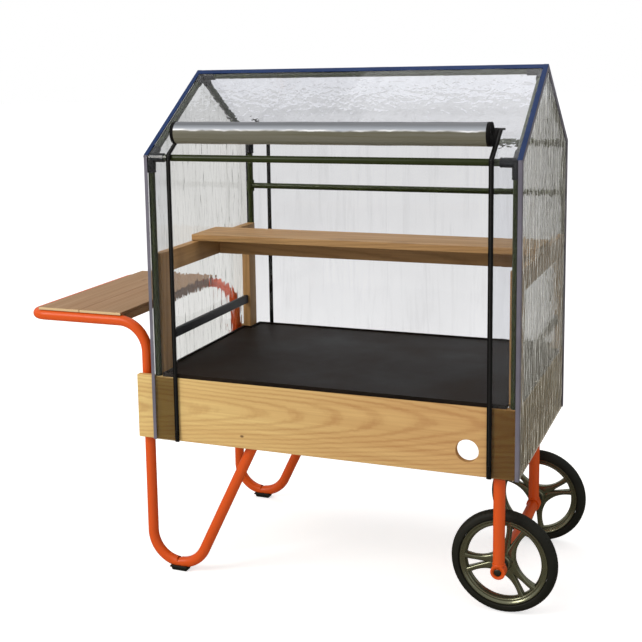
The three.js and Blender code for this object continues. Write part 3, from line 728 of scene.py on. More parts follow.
def clear_film(name, base, folds, depth, hem_top):
    """Clear film: glass with a milky veil in streaks. Below hem_top it is darker and browner: the
    film lies double there, and painted shade darkens the boards seen through it. Lamps shine
    through it at part strength, as through real film, where a glass shader alone would shade
    everything."""

    def build(nodes):
        made = nodes.effect(film_group(), Vector=nodes.place(), Folds=folds)
        milky = tuple(value * 0.86 for value in base)
        height = nodes.add("ShaderNodeSeparateXYZ", 2, {0: nodes.place()})
        # Mask below hem_top, where the film lies double and carries painted shade
        hem_and_painted_shade = nodes.remap(height, hem_top - 0.002, hem_top + 0.002, 1.0, 0.0)
        veiled = nodes.mix(made["Veil"], base, milky)
        more = {"normal": nodes.bump(made["Height"], depth)} if depth else {}
        glass = principled(
            # Olive-brown below hem_top: the doubled film plus painted shade on the boards seen
            # through it
            nodes, base_color=nodes.mix(hem_and_painted_shade, veiled, (0.56, 0.53, 0.45)), roughness=0.02,
            ior=1.25, transmission_weight=1.0, **more,
        )
        lit_colour = nodes.mix(hem_and_painted_shade, (0.80, 0.79, 0.76), (0.36, 0.33, 0.26))
        lit = nodes.add("ShaderNodeBsdfTransparent", 0, {"Color": lit_colour})
        lamp = nodes.add("ShaderNodeLightPath", "Is Shadow Ray")
        return nodes.add("ShaderNodeMixShader", 0, {0: lamp, 1: glass, 2: lit})

    return material(name, build)


def rolled_film(top, under, centre, radius):
    """Many layers of rolled film, coloured by the height in the roll with painted reflection and
    shade: dark slate at the top, paling down to a painted highlight, a bright wavy line above
    the middle, and olive painted shade below it."""

    def build(nodes):
        place = nodes.place()
        z = nodes.add("ShaderNodeSeparateXYZ", 2, {0: place})
        wander = nodes.noise(nodes.mapped(place, (7, 0, 0)), 1.0, 3.0)
        fine = nodes.noise(nodes.mapped(place, (26, 0, 0)), 1.0, 2.0)
        level = nodes.math("SUBTRACT", z, centre + 0.26 * radius)
        level = nodes.math("ADD", level, nodes.remap(wander, 0.3, 0.7, -0.0025, 0.0025))
        level = nodes.math("ADD", level, nodes.remap(fine, 0.3, 0.7, -0.0012, 0.0012))
        # Above the wavy line the roll takes a painted sky reflection, and below it painted shade
        upper = nodes.remap(level, -0.0015, 0.002)
        # Painted highlight: a bright wavy line where the painted reflection meets the painted shade
        line = nodes.remap(nodes.math("ABSOLUTE", level), 0.0008, 0.0026, 1.0, 0.0)
        rise = nodes.remap(z, centre + 0.32 * radius, centre + 0.7 * radius, 0.0, 1.0)
        # Painted reflection: the top colour, darkening to slate at the very top of the roll
        painted_sky_reflection = nodes.mix(rise, top, tuple(value * 0.27 for value in top))
        low = nodes.remap(z, centre - radius, centre, 0.0, 1.0)
        # Painted shade: olive on the underside, a little lighter at the very bottom
        ground = nodes.mix(low, tuple(value * 1.25 for value in under), under)
        body = nodes.mix(upper, ground, painted_sky_reflection)
        streaks = nodes.noise(nodes.mapped(place, (3, 140, 140)), 1.0, 3.0)
        body = nodes.mix(nodes.remap(streaks, 0.3, 0.75, 0.0, 0.14), body, (0.4, 0.4, 0.42))
        gaps = nodes.remap(nodes.noise(nodes.mapped(place, (11, 0, 0)), 1.0, 2.0), 0.4, 0.6)
        # Painted highlight along the wavy line, broken into gaps
        bright = nodes.mix(nodes.math("MULTIPLY", line, gaps), body, (0.94, 0.95, 0.97))
        return principled(
            nodes, base_color=bright, roughness=nodes.remap(streaks, 0.3, 0.7, 0.24, 0.4),
            normal=nodes.bump(streaks, 0.0003), specular_ior_level=0.3,
        )

    return material("Rolled film", build)


def woven(name, base):
    """Zip tape: fine ribs along and across the tape, by two waves multiplied."""

    def build(nodes):
        place = nodes.place()
        ribs = nodes.add("ShaderNodeTexWave", 1, {"Vector": place, "Scale": 190.0},
                         bands_direction="Z")
        cross = nodes.add("ShaderNodeTexWave", 1, {"Vector": place, "Scale": 260.0},
                          bands_direction="X")
        weave = nodes.math("MULTIPLY", ribs, cross)
        return principled(
            nodes, base_color=nodes.mix(weave, base, tuple(v * 1.8 + 0.003 for v in base)),
            roughness=nodes.remap(weave, 0.0, 1.0, 0.62, 0.85), normal=nodes.bump(weave, 0.0004),
            specular_ior_level=0.12,
        )

    return material(name, build)


def embossed(name, base, rough, specular=0.3):
    """Welded strip of plastic: a fine diamond pattern pressed in by the welding bar."""

    def build(nodes):
        place = nodes.place()
        turned_place = nodes.mapped(place, turn=(math.radians(45), math.radians(45), 0))
        a = nodes.add("ShaderNodeTexWave", 1, {"Vector": turned_place, "Scale": 120.0},
                      bands_direction="X")
        b = nodes.add("ShaderNodeTexWave", 1, {"Vector": turned_place, "Scale": 120.0},
                      bands_direction="Z")
        press = nodes.math("MULTIPLY", a, b)
        patches = nodes.noise(place, 14.0)
        lighter = tuple(min(1.0, v * 1.5 + 0.01) for v in base)
        return principled(
            nodes, base_color=nodes.mix(nodes.remap(patches, 0.35, 0.7, 0.0, 0.5), base, lighter),
            roughness=nodes.remap(press, 0.0, 1.0, rough, rough + 0.2),
            normal=nodes.bump(press, 0.0003), specular_ior_level=specular,
        )

    return material(name, build)


# ---------------------------------------------------------------- finishes
def sizes():
    """The cart's sizes in this scene."""
    return bpy.context.scene.cart_sizes


def shade(name):
    """One of the cart's colours in this scene."""
    return tuple(getattr(bpy.context.scene.cart_colours, name))


def orange_paint():
    """Enamel on the chassis, a little paler in patches."""
    return moulded("Orange enamel", shade("paint"), 0.36, 6.0, 420.0, 0.00004, worn=0.14,
                   lighter=1.2, specular_ior_level=0.35)


def rubber():
    """Matt rubber of the tyres and feet, dusty in patches."""
    return moulded("Black rubber", shade("rubber"), 0.62, 24.0, 900.0, 0.00012, worn=0.5,
                   specular_ior_level=0.35)


def black_tube():
    """Dark olive coat on the greenhouse tubes."""
    return moulded("Dark tube enamel", shade("frame_tube"), 0.34, 9.0, 500.0, 0.00003,
                   specular_ior_level=0.25)


def black_plastic():
    """Moulded plastic of the connectors and the side bars."""
    return moulded("Black plastic", shade("connector"), 0.42, 20.0, 1100.0, 0.0001,
                   specular_ior_level=0.25)


def pine(grain="x", knot=None):
    """Light wood of the box. The shift sets which part of the rings a board shows."""
    shift = {"x": (0.31, 0.355, -0.47), "y": (0.2, 0.41, -0.44)}[grain]
    name = f"Pine along {grain}" + (" with a knot" if knot else "")
    # Boards along X get painted shade that darkens them and turns them redder towards +X
    board_painted_shade_span = (-0.35, 0.45) if grain == "x" else None
    return wood(name, shade("pine"), shade("pine_dark"), grain, 44.0, shift, painted_shade_span=board_painted_shade_span,
                knot=knot)


def frame_wood(grain="x"):
    """Browner wood of the posts, rails and inner shelf."""
    shift = {"x": (0.1, 0.03, -0.79), "y": (0.7, 0.5, -0.82), "z": (0.62, 0.52, 0.4)}[grain]
    return wood(f"Frame wood along {grain}", shade("frame_wood"), shade("frame_wood_dark"),
                grain, 34.0, shift)


def shelf_wood():
    """Weathered wood of the side shelf, with pale sawn ends."""
    return wood("Side shelf wood", shade("shelf_wood"), shade("shelf_wood_dark"), "y", 30.0,
                (0.1, 0.55, -0.61), end_light=tone("dcc193"))


# ---------------------------------------------------------------- places from the frame
class Places:
    """Places on the frame that several pieces share, in metres."""

    def __init__(self):
        s = sizes()
        radius = s.tube_radius
        lo, hi = box("handle_tube")
        leg_lo, leg_hi = box("front_leg_tube")
        self.upright_x, self.handle_x = hi[0] - radius, lo[0] + radius
        self.tube_y, self.handle_z = hi[1] - radius, hi[2] - radius
        self.joint_z = lo[2] + s.spigot
        self.leg_z, self.run_z = leg_lo[2] + radius, leg_hi[2] - radius
        self.axle = middle("axle")
        self.bottom = box("front_board")[0][2]
        self.box_top = box("front_board")[1][2]
        self.crossbar_z = middle("carrier_crossbar")[2]
        self.wheel_leg_y = middle("rear_wheel_leg")[1]
        eave, ridge = middle("front_eave_tube"), middle("ridge_tube")
        self.eave_z, self.ridge_z, self.frame_y = eave[2], ridge[2], -eave[1]
        left, right = box("cover_left"), box("cover_right")
        self.cover_x = left[0][0], right[1][0]
        self.cover_y, self.ridge_top = right[1][1], right[1][2]
        self.pitch = math.atan2(self.ridge_z - self.eave_z, self.frame_y)
        self.eave_top = self.ridge_top - self.cover_y * math.tan(self.pitch)
        self.roof = math.hypot(self.cover_y, self.ridge_top - self.eave_top)
        self.middle_x = (self.cover_x[0] + self.cover_x[1]) / 2
        self.zip_x = [middle(f"front_{side}_zip_slider")[0] for side in ("left", "right")]

    def slope(self, face, along, off=0.0):
        """Y and Z of a point up the roof from the eaves, and off it; face is -1 at the front."""
        y = self.cover_y - along * math.cos(self.pitch) + off * math.sin(self.pitch)
        z = self.eave_top + along * math.sin(self.pitch) + off * math.cos(self.pitch)
        return face * y, z


# ---------------------------------------------------------------- operators
class CartOperator(bpy.types.Operator):
    """Common ground of the cart's operators."""

    bl_options = {"REGISTER", "UNDO"}


class CART_OT_chassis(CartOperator):
    """Bent orange tubes with rounded lips, and welded eyelets for the axle"""

    bl_idname = "cart.chassis"
    bl_label = "Chassis tubes"

    def execute(self, context):
        s, p = sizes(), Places()
        r, bend = s.tube_radius, s.bend_radius
        bore = r - CHASSIS_WALL
        x0, x1, y = p.upright_x, p.handle_x, p.tube_y
        loop = rounded_path([
            (x0, -y, p.joint_z + GAP), (x0, -y, p.handle_z), (x1, -y, p.handle_z),
            (x1, y, p.handle_z), (x0, y, p.handle_z), (x0, y, p.joint_z + GAP),
        ], [bend, s.corner_radius, s.corner_radius, bend])
        piece("handle_loop", [tube(loop, r, bore)], orange_paint(),
              ["handle_tube"])

        foot = x0 + bend + bend * math.tan(s.leg_slope / 2)
        rise = foot + (p.run_z - p.leg_z) / math.tan(s.leg_slope)
        axle_x, axle_z = p.axle[0], p.axle[2]
        for name, node, side, end in (
            ("front_leg", "front_leg_tube", -y, axle_z), ("rear_leg", "rear_leg_tube", y, p.bottom),
        ):
            path = rounded_path([
                (x0, side, p.joint_z), (x0, side, p.leg_z), (foot, side, p.leg_z),
                (rise, side, p.run_z), (axle_x, side, p.run_z), (axle_x, side, end),
            ], [bend] * 4)
            skins = [tube(path, r, bore)]
            if side < 0:
                skins += self.eyelet(axle_x, side, axle_z)
            piece(name, skins, orange_paint(), [node])

        leg_y = p.wheel_leg_y
        leg = np.array([(axle_x, leg_y, axle_z + r), (axle_x, leg_y, p.crossbar_z)])
        skins = [tube(leg, r, bore), *self.eyelet(axle_x, leg_y, axle_z)]
        piece("wheel_leg", skins, orange_paint(), ["rear_wheel_leg"])

        reach = box("carrier_crossbar")[1][1]
        bar = np.array([(axle_x, -reach, p.crossbar_z), (axle_x, reach, p.crossbar_z)])
        welds = [
            turned(self.weld(r, 1.0), (axle_x, -reach, p.crossbar_z)),
            turned(self.weld(r, -1.0), (axle_x, reach, p.crossbar_z)),
        ]
        piece("carrier_bar", [tube(bar, r, bore), *welds], orange_paint(),
              ["carrier_crossbar"])

        lo, hi = box("axle_sleeve")
        sleeve = np.array([(axle_x, lo[1], axle_z), (axle_x, hi[1], axle_z)])
        thick_wall = 0.004
        piece("axle_tube", [tube(sleeve, r, r - thick_wall)], orange_paint(),
              ["axle_sleeve"])
        return {"FINISHED"}

    @staticmethod
    def weld(radius, way):
        """Profile of a bead of weld round a tube's end: half a circle on the tube."""
        bead = 0.0028
        angle = np.linspace(0, math.pi, 7)
        arc = np.stack([radius + bead * np.sin(angle), way * bead * (1 - np.cos(angle))], -1)
        return [(0, 0), *arc.tolist(), (0, way * 2 * bead)]

    @staticmethod
    def eyelet(x, y, z):
        """Round eye for the axle: a ring whose outer edges are rounded, with a bead of weld
        where the leg meets it."""
        width, outer, inner, edge = EYELET_HALF, 0.018, 0.0093, 0.0022
        bend = np.linspace(0, math.pi / 2, 5)
        near = np.stack([
            outer - edge + edge * np.sin(bend), -width + edge * (1 - np.cos(bend)),
        ], -1)
        far = near[::-1] * (1, -1)
        profile = [(inner, -width), *near.tolist(), *far.tolist(), (inner, width)]
        above, height, foot, swell = 0.0165, 0.006, 0.0138, 0.0022
        path = np.array([(x, y, z + above - height / 2), (x, y, z + above + height / 2)])
        share = np.linspace(0, 1, 9)
        bead = np.stack([height * share, foot + swell * np.sin(math.pi * share)], -1)
        rows = [(0, 0), *bead.tolist(), (height, 0)]
        return [turned(profile, (x, y, z), 48, along=True), round_along(path, rows)]


class CART_OT_feet(CartOperator):
    """Rubber feet, wider at the tube than at the floor, with a moulded rib round them"""

    bl_idname = "cart.feet"
    bl_label = "Foot pads"

    def execute(self, context):
        rib, rib_foot, rib_top = 0.0012, 0.006, 0.0015
        for name, node in (("front_pad", "front_foot_pad"), ("rear_pad", "rear_foot_pad")):
            lo, hi = box(node)
            rib_lo = np.array([lo[0] - rib, lo[1] - rib, hi[2] - rib_foot])
            rib_hi = np.array([hi[0] + rib, hi[1] + rib, hi[2] - rib_top])
            skins = [block(lo, hi, 0.0022, taper=0.004), block(rib_lo, rib_hi, 0.0018)]
            piece(name, skins, rubber(), [node])
        return {"FINISHED"}


class CART_OT_wheels(CartOperator):
    """Two wheels: grooved tyres, ringed rims with pairs of flaring spokes, and the axle"""

    bl_idname = "cart.wheels"
    bl_label = "Wheels and axle"

    def execute(self, context):
        s = sizes()
        metal = moulded("Gunmetal", shade("rim"), 0.2, 18.0, 260.0, 0.00002, worn=0.3,
                        lighter=1.4, metallic=0.88)
        for side in ("front", "rear"):
            body = f"{side}_wheel"
            lo, hi = box(f"{side}_tyre")
            centre = (lo + hi) / 2
            radius, half = (hi[2] - lo[2]) / 2, (hi[1] - lo[1]) / 2
            rim_lo, rim_hi = box(f"{side}_rim")
            inner, hub_half = (rim_hi[2] - rim_lo[2]) / 2, (rim_hi[1] - rim_lo[1]) / 2
            piece(f"{side}_tread", [self.tyre(centre, radius, inner, half, s)], rubber(),
                  [f"{side}_tyre"], body)
            skins = [*self.rim(centre, inner), self.hub(centre, hub_half)]
            first = s.front_turn if side == "front" else s.rear_turn
            inside_ring = inner - 0.011
            for pair in range(s.spoke_pairs):
                turn = first + 2 * math.pi * pair / s.spoke_pairs
                skins += [self.spoke(centre, inside_ring, turn, hand) for hand in (-1, 1)]
            piece(f"{side}_wheel_rim", skins, metal, [f"{side}_rim"], body)
        self.axle()
        return {"FINISHED"}

    @staticmethod
    def tyre(centre, radius, inner, half, s):
        """Section: a squarish half ellipse from the rim outwards, sine to the power 0.7, closed
        by a straight seat. Three grooves run round it, the shoulders are cut into blocks, and
        a raised line runs round each side wall."""
        angle = np.linspace(0, math.pi, 49)
        height = (radius - inner) * np.sin(angle) ** 0.7
        profile = np.stack([inner + height, -half * np.cos(angle)], -1)
        profile = np.concatenate([profile, [(inner, half * 0.6), (inner, -half * 0.6)]])

        def tread(turn, y, r):
            crown = np.clip((r - inner) / (radius - inner) * 6 - 4.2, 0, 1)
            across = np.abs(y) / half
            grooves = np.exp(-((across - 0.32) / 0.05) ** 2) + np.exp(-(across / 0.05) ** 2)
            shoulder = np.clip((across - 0.42) * 12, 0, 1) * np.clip((0.97 - across) * 12, 0, 1)
            slots = np.clip(np.cos(s.tread_blocks * turn) * 3 - 1.6, 0, 1) * shoulder
            wall = np.exp(-(((r - inner) / (radius - inner) - 0.42) / 0.05) ** 2) * 0.5
            return s.tread_depth * (wall * (r > inner + 0.001) - crown * (grooves + slots))

        return turned(profile, centre, s.tread_blocks * 8, along=True, shape=tread)

    @staticmethod
    def rim(centre, inner):
        """Ring of the rim: a deep channel that carries the tyre, a rolled lip on each side, and
        a rounded inner face."""
        half, band = 0.0135, 0.0185
        inside, seat = inner - band, inner - 0.0006
        across = np.linspace(-1, 1, 15)
        swell = np.stack([inside + 0.0045 * across ** 2, across * (half - 0.002)], -1)
        lip = [
            (seat - 0.006, half), (seat - 0.0035, half + 0.0018), (seat - 0.0012, half + 0.0018),
            (seat, half + 0.0004), (seat, half - 0.003),
        ]
        dip = [(inside + 0.0065, half - 0.0005), (inside + 0.009, half - 0.0016),
               (seat - 0.0085, half - 0.0016)]
        side = [*dip, *lip]
        mirrored = [(r, -y) for r, y in reversed(side)]
        return [turned([*swell.tolist(), *side, *mirrored], centre, 96, along=True)]

    @staticmethod
    def hub(centre, half):
        """Hub: a barrel that narrows in the middle, with a stepped face round the axle."""
        outer, bore = 0.0228, 0.0094
        side = [(bore, half), (bore + 0.003, half), (bore + 0.004, half - 0.0012),
                (outer - 0.006, half - 0.0012), (outer - 0.0035, half - 0.003),
                (outer - 0.0015, half - 0.009), (outer, half - 0.0125)]
        profile = [*side, *[(r, -y) for r, y in reversed(side)]]
        return turned(profile, centre, 64, along=True)

    @staticmethod
    def spoke(centre, reach, turn, hand, stations=40):
        """One spoke of a pair, laid across the pair's own line. Its inner edge runs from just
        past the line away from it, so that a slot opens between the pair. Its outer edge is a
        waist plus the square of the distance from the waist, so that it flares at both ends.
        Its section is a rounded rectangle."""
        overlap, slot_foot, slot_end = 0.004, 0.030, 0.0125
        waist, waist_at, hub_flare, rim_flare = 0.0172, 0.050, 7.0, 5.6
        out = np.linspace(0.012, reach, stations)
        opening = np.clip((out - slot_foot) / (reach - slot_foot), 0, 1) ** 0.9
        slot = (slot_end + overlap) * opening - overlap
        past = out - waist_at
        edge = waist + np.where(past > 0, rim_flare, hub_flare) * past ** 2
        angle = np.linspace(0, 2 * math.pi, 24, endpoint=False)
        u = np.sign(np.cos(angle)) * np.abs(np.cos(angle)) ** 0.6
        v = np.sign(np.sin(angle)) * np.abs(np.sin(angle)) ** 0.6
        aside = hand * ((edge + slot)[:, None] + (edge - slot)[:, None] * u) / 2
        deep = 0.0105 + 0.0015 * np.cos(2 * math.pi * (out - out[0]) / (reach - out[0]))
        along = np.broadcast_to(out[:, None], aside.shape)
        rows = np.stack([
            along * math.cos(turn) - aside * math.sin(turn), deep[:, None] * v,
            along * math.sin(turn) + aside * math.cos(turn),
        ], -1)
        return surface(capped(rows + centre))

    @staticmethod
    def axle():
        """Axle: the steel bar with its two spacers, a domed head outside the front leg and a
        domed cap outside the rear wheel."""
        lo, hi = box("axle")
        centre = (lo + hi) / 2
        half = (hi[1] - lo[1]) / 2
        steel = moulded("Dark steel", shade("steel"), 0.38, 30.0, 500.0, 0.00006, metallic=0.85)
        radius, spacer, cap = 0.009, 0.015, 0.007
        front_leg = middle("front_leg_tube")[1] + EYELET_HALF + GAP
        rear_leg = middle("rear_wheel_leg")[1] + EYELET_HALF + GAP
        front_hub, rear_hub = box("front_rim")[0][1], box("rear_rim")[0][1]
        skins = [turned([
            (0, -half - 0.0015), (radius - 0.003, -half - 0.0012), (radius - 0.0008, -half),
            (radius, -half + 0.001), (radius, half - cap), (spacer - 0.001, half - cap),
            (spacer, half - cap + 0.001), (spacer, half - 0.003), (spacer - 0.003, half - 0.0005),
            (0, half),
        ], centre, 48)]
        waist, collar, waist_from = 0.0012, 0.006, 0.008
        for start, end in ((front_leg, front_hub - GAP), (rear_leg, rear_hub - GAP)):
            a, b = start - centre[1], end - centre[1]
            near = [(radius, a), (spacer - waist, a), (spacer, a + waist), (spacer, a + collar),
                    (spacer - waist, a + waist_from)]
            far = [(r, a + b - y) for r, y in reversed(near)]
            skins.append(turned([*near, *far], centre, 48, along=True))
        piece("axle_bar", skins, steel, ["axle"])


class CART_OT_box(CartOperator):
    """Box of pine boards with the round hole, its posts, rails, inner shelf and black bars"""

    bl_idname = "cart.box"
    bl_label = "Wooden box and inner frame"

    def execute(self, context):
        s = sizes()
        lo, hi = box("front_board")
        hole = (hi[0] - s.hole_from_end, lo[2] + s.hole_height)
        face = drilled_board(lo, hi, s.board_edge, hole, s.hole_radius)
        knot = tuple((lo + (hi - lo) * (0.30, 0, 0.19))[[0, 2]].tolist())
        piece("front_board_planed", [face], pine("x", knot), ["front_board"])
        planks = [
            ("rear_board", pine("x"), "pine", s.board_edge),
            ("left_end_board", pine("y"), "pine", s.board_edge),
            ("right_end_board", pine("y"), "pine", s.board_edge),
            ("left_side_rail", frame_wood("y"), "frame_wood", s.batten_edge),
            ("right_side_rail", frame_wood("y"), "frame_wood", s.batten_edge),
            ("shelf_cross_rail", frame_wood("x"), "frame_wood", s.batten_edge),
            ("shelf_plank", frame_wood("x"), "frame_wood", s.board_edge),
            ("tray_bearer", frame_wood("y"), "frame_wood", s.batten_edge),
            ("left_side_bar", black_plastic(), "black_bar", 0.003),
            ("right_side_bar", black_plastic(), "black_bar", 0.003),
            *(
                (f"{face}_{side}_post", frame_wood("z"), "frame_wood", s.batten_edge)
                for face in ("front", "rear") for side in ("left", "right")
            ),
        ]
        for node, finish, slot, edge in planks:
            lo, hi = box(node)
            piece(f"{node}_planed", [block(lo, hi, edge)], finish, [node])
        return {"FINISHED"}


class CART_OT_tray(CartOperator):
    """Black moulded tray: a satin finish with fine grain and a trace of soil"""

    bl_idname = "cart.tray"
    bl_label = "Tray"

    def execute(self, context):
        base = shade("tray")

        def build(nodes):
            patch, _, height = handled(nodes, 3.5, 700.0)
            soil = nodes.mix(nodes.math("MULTIPLY", patch, 0.35), base, (0.045, 0.028, 0.018))
            return principled(
                nodes, base_color=soil, roughness=nodes.remap(patch, 0.0, 1.0, 0.5, 0.66),
                normal=nodes.bump(height, 0.00004), specular_ior_level=0.08,
            )

        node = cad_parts["tray"]
        node.data.materials.clear()
        node.data.materials.append(material("Tray plastic", build))
        return {"FINISHED"}


class CART_OT_side_shelf(CartOperator):
    """Side shelf on the handle loop: two planks over a batten"""

    bl_idname = "cart.side_shelf"
    bl_label = "Side shelf"

    def execute(self, context):
        s = sizes()
        for node in ("side_shelf_plank_1", "side_shelf_plank_2", "side_shelf_batten"):
            lo, hi = box(node)
            piece(f"{node}_planed", [block(lo, hi, s.batten_edge)], shelf_wood(),
                  [node])
        return {"FINISHED"}


class CART_OT_frame(CartOperator):
    """Dark push-fit tubes of the greenhouse with their black connectors"""

    bl_idname = "cart.greenhouse_frame"
    bl_label = "Greenhouse frame"

    def execute(self, context):
        s, p = sizes(), Places()
        sides = {"left": middle("front_left_tube_post")[0],
                 "right": middle("front_right_tube_post")[0]}
        for side, x in sides.items():
            ridge = np.array([x, 0.0, p.ridge_z])
            feet = []
            for face, sign in (("front", -1), ("rear", 1)):
                eave = np.array([x, sign * p.frame_y, p.eave_z])
                foot = np.array([x, sign * p.frame_y, box(f"{face}_{side}_tube_post")[0][2]])
                other = np.array([2 * p.middle_x - x, sign * p.frame_y, p.eave_z])
                feet.append(eave)
                self.bar(f"{face}_{side}_upright", foot, eave, 0.0, s, [f"{face}_{side}_tube_post"])
                self.bar(f"{face}_{side}_slope", eave, ridge, s.tube_stop, s,
                         [f"{face}_{side}_rafter"])
                self.joint(f"{face}_{side}_elbow", eave, (foot, other, ridge), s,
                           [f"{face}_{side}_connector"])
            across = np.array([2 * p.middle_x - x, 0.0, p.ridge_z])
            self.joint(f"{side}_ridge_elbow", ridge, (across, *feet), s,
                       [f"{side}_ridge_connector"])
        left, right = sides["left"], sides["right"]
        bars = {
            "front_eave_bar": ("front_eave_tube", -p.frame_y, p.eave_z),
            "rear_eave_bar": ("rear_eave_tube", p.frame_y, p.eave_z),
            "ridge_bar": ("ridge_tube", 0.0, p.ridge_z),
        }
        for name, (node, y, z) in bars.items():
            self.bar(name, np.array([left, y, z]), np.array([right, y, z]), s.tube_stop, s, [node])
        self.rear_rail(s, p, left, right)
        return {"FINISHED"}

    @staticmethod
    def bar(name, start, end, stop, s, nodes):
        """Tube between two points, stopped short of both by the same length."""
        way = unit(end - start)
        points = np.array([start + way * stop, end - way * stop])
        radius = s.frame_tube / 2
        piece(name, [tube(points, radius, radius - FRAME_WALL)], black_tube(), nodes)

    @staticmethod
    def joint(name, centre, targets, s, nodes):
        """Connector: a ball with a sleeve towards each tube. A sleeve has a rounded mouth that
        dips in around its tube and a shallow groove behind the mouth."""
        tube_radius = s.frame_tube / 2
        outer, length = tube_radius + SLEEVE_WALL, s.sleeve_length
        angle = np.linspace(-math.pi / 2, math.pi / 2, 17)
        ball = np.stack([outer * np.cos(angle), outer * np.sin(angle)], -1)
        skins = [turned(ball, centre, 32)]
        for target in targets:
            way = unit(target - centre)
            groove = length - 0.007
            profile = [
                (0, 0), (0, outer - 0.0001), (groove - 0.002, outer - 0.0001),
                (groove - 0.001, outer - 0.0007), (groove + 0.001, outer - 0.0007),
                (groove + 0.002, outer), (length - 0.0012, outer),
                (length - 0.0003, outer - 0.0004), (length, outer - 0.0012),
                (length, tube_radius + 0.0002),
                (length - 0.003, tube_radius + 0.0002), (length - 0.003, 0),
            ]
            skins.append(round_along(np.array([centre, centre + way * length]), profile))
        piece(name, skins, black_plastic(), nodes)

    @staticmethod
    def rear_rail(s, p, left, right):
        """Rail across the back: a tube that ends in a short sleeve round each rear upright."""
        radius = s.frame_tube / 2
        lo, hi = box("rear_cross_rail")
        y, z = p.frame_y, (lo[2] + hi[2]) / 2
        half, outer, inner = (hi[2] - lo[2]) / 2, radius + SLEEVE_WALL, radius + GAP
        line = np.array([(left + inner, y, z), (right - inner, y, z)])
        skins = [tube(line, radius, radius - FRAME_WALL)]
        for x in (left, right):
            path = np.array([(x, y, z - half), (x, y, z + half)])
            profile = [
                (0.0, inner), (0.0, outer - 0.0012), (0.0008, outer), (2 * half - 0.0008, outer),
                (2 * half, outer - 0.0012), (2 * half, inner), (0.0, inner),
            ]
            skins.append(round_along(path, profile))
        piece("rear_rail_bar", skins, black_tube(), ["rear_cross_rail"])


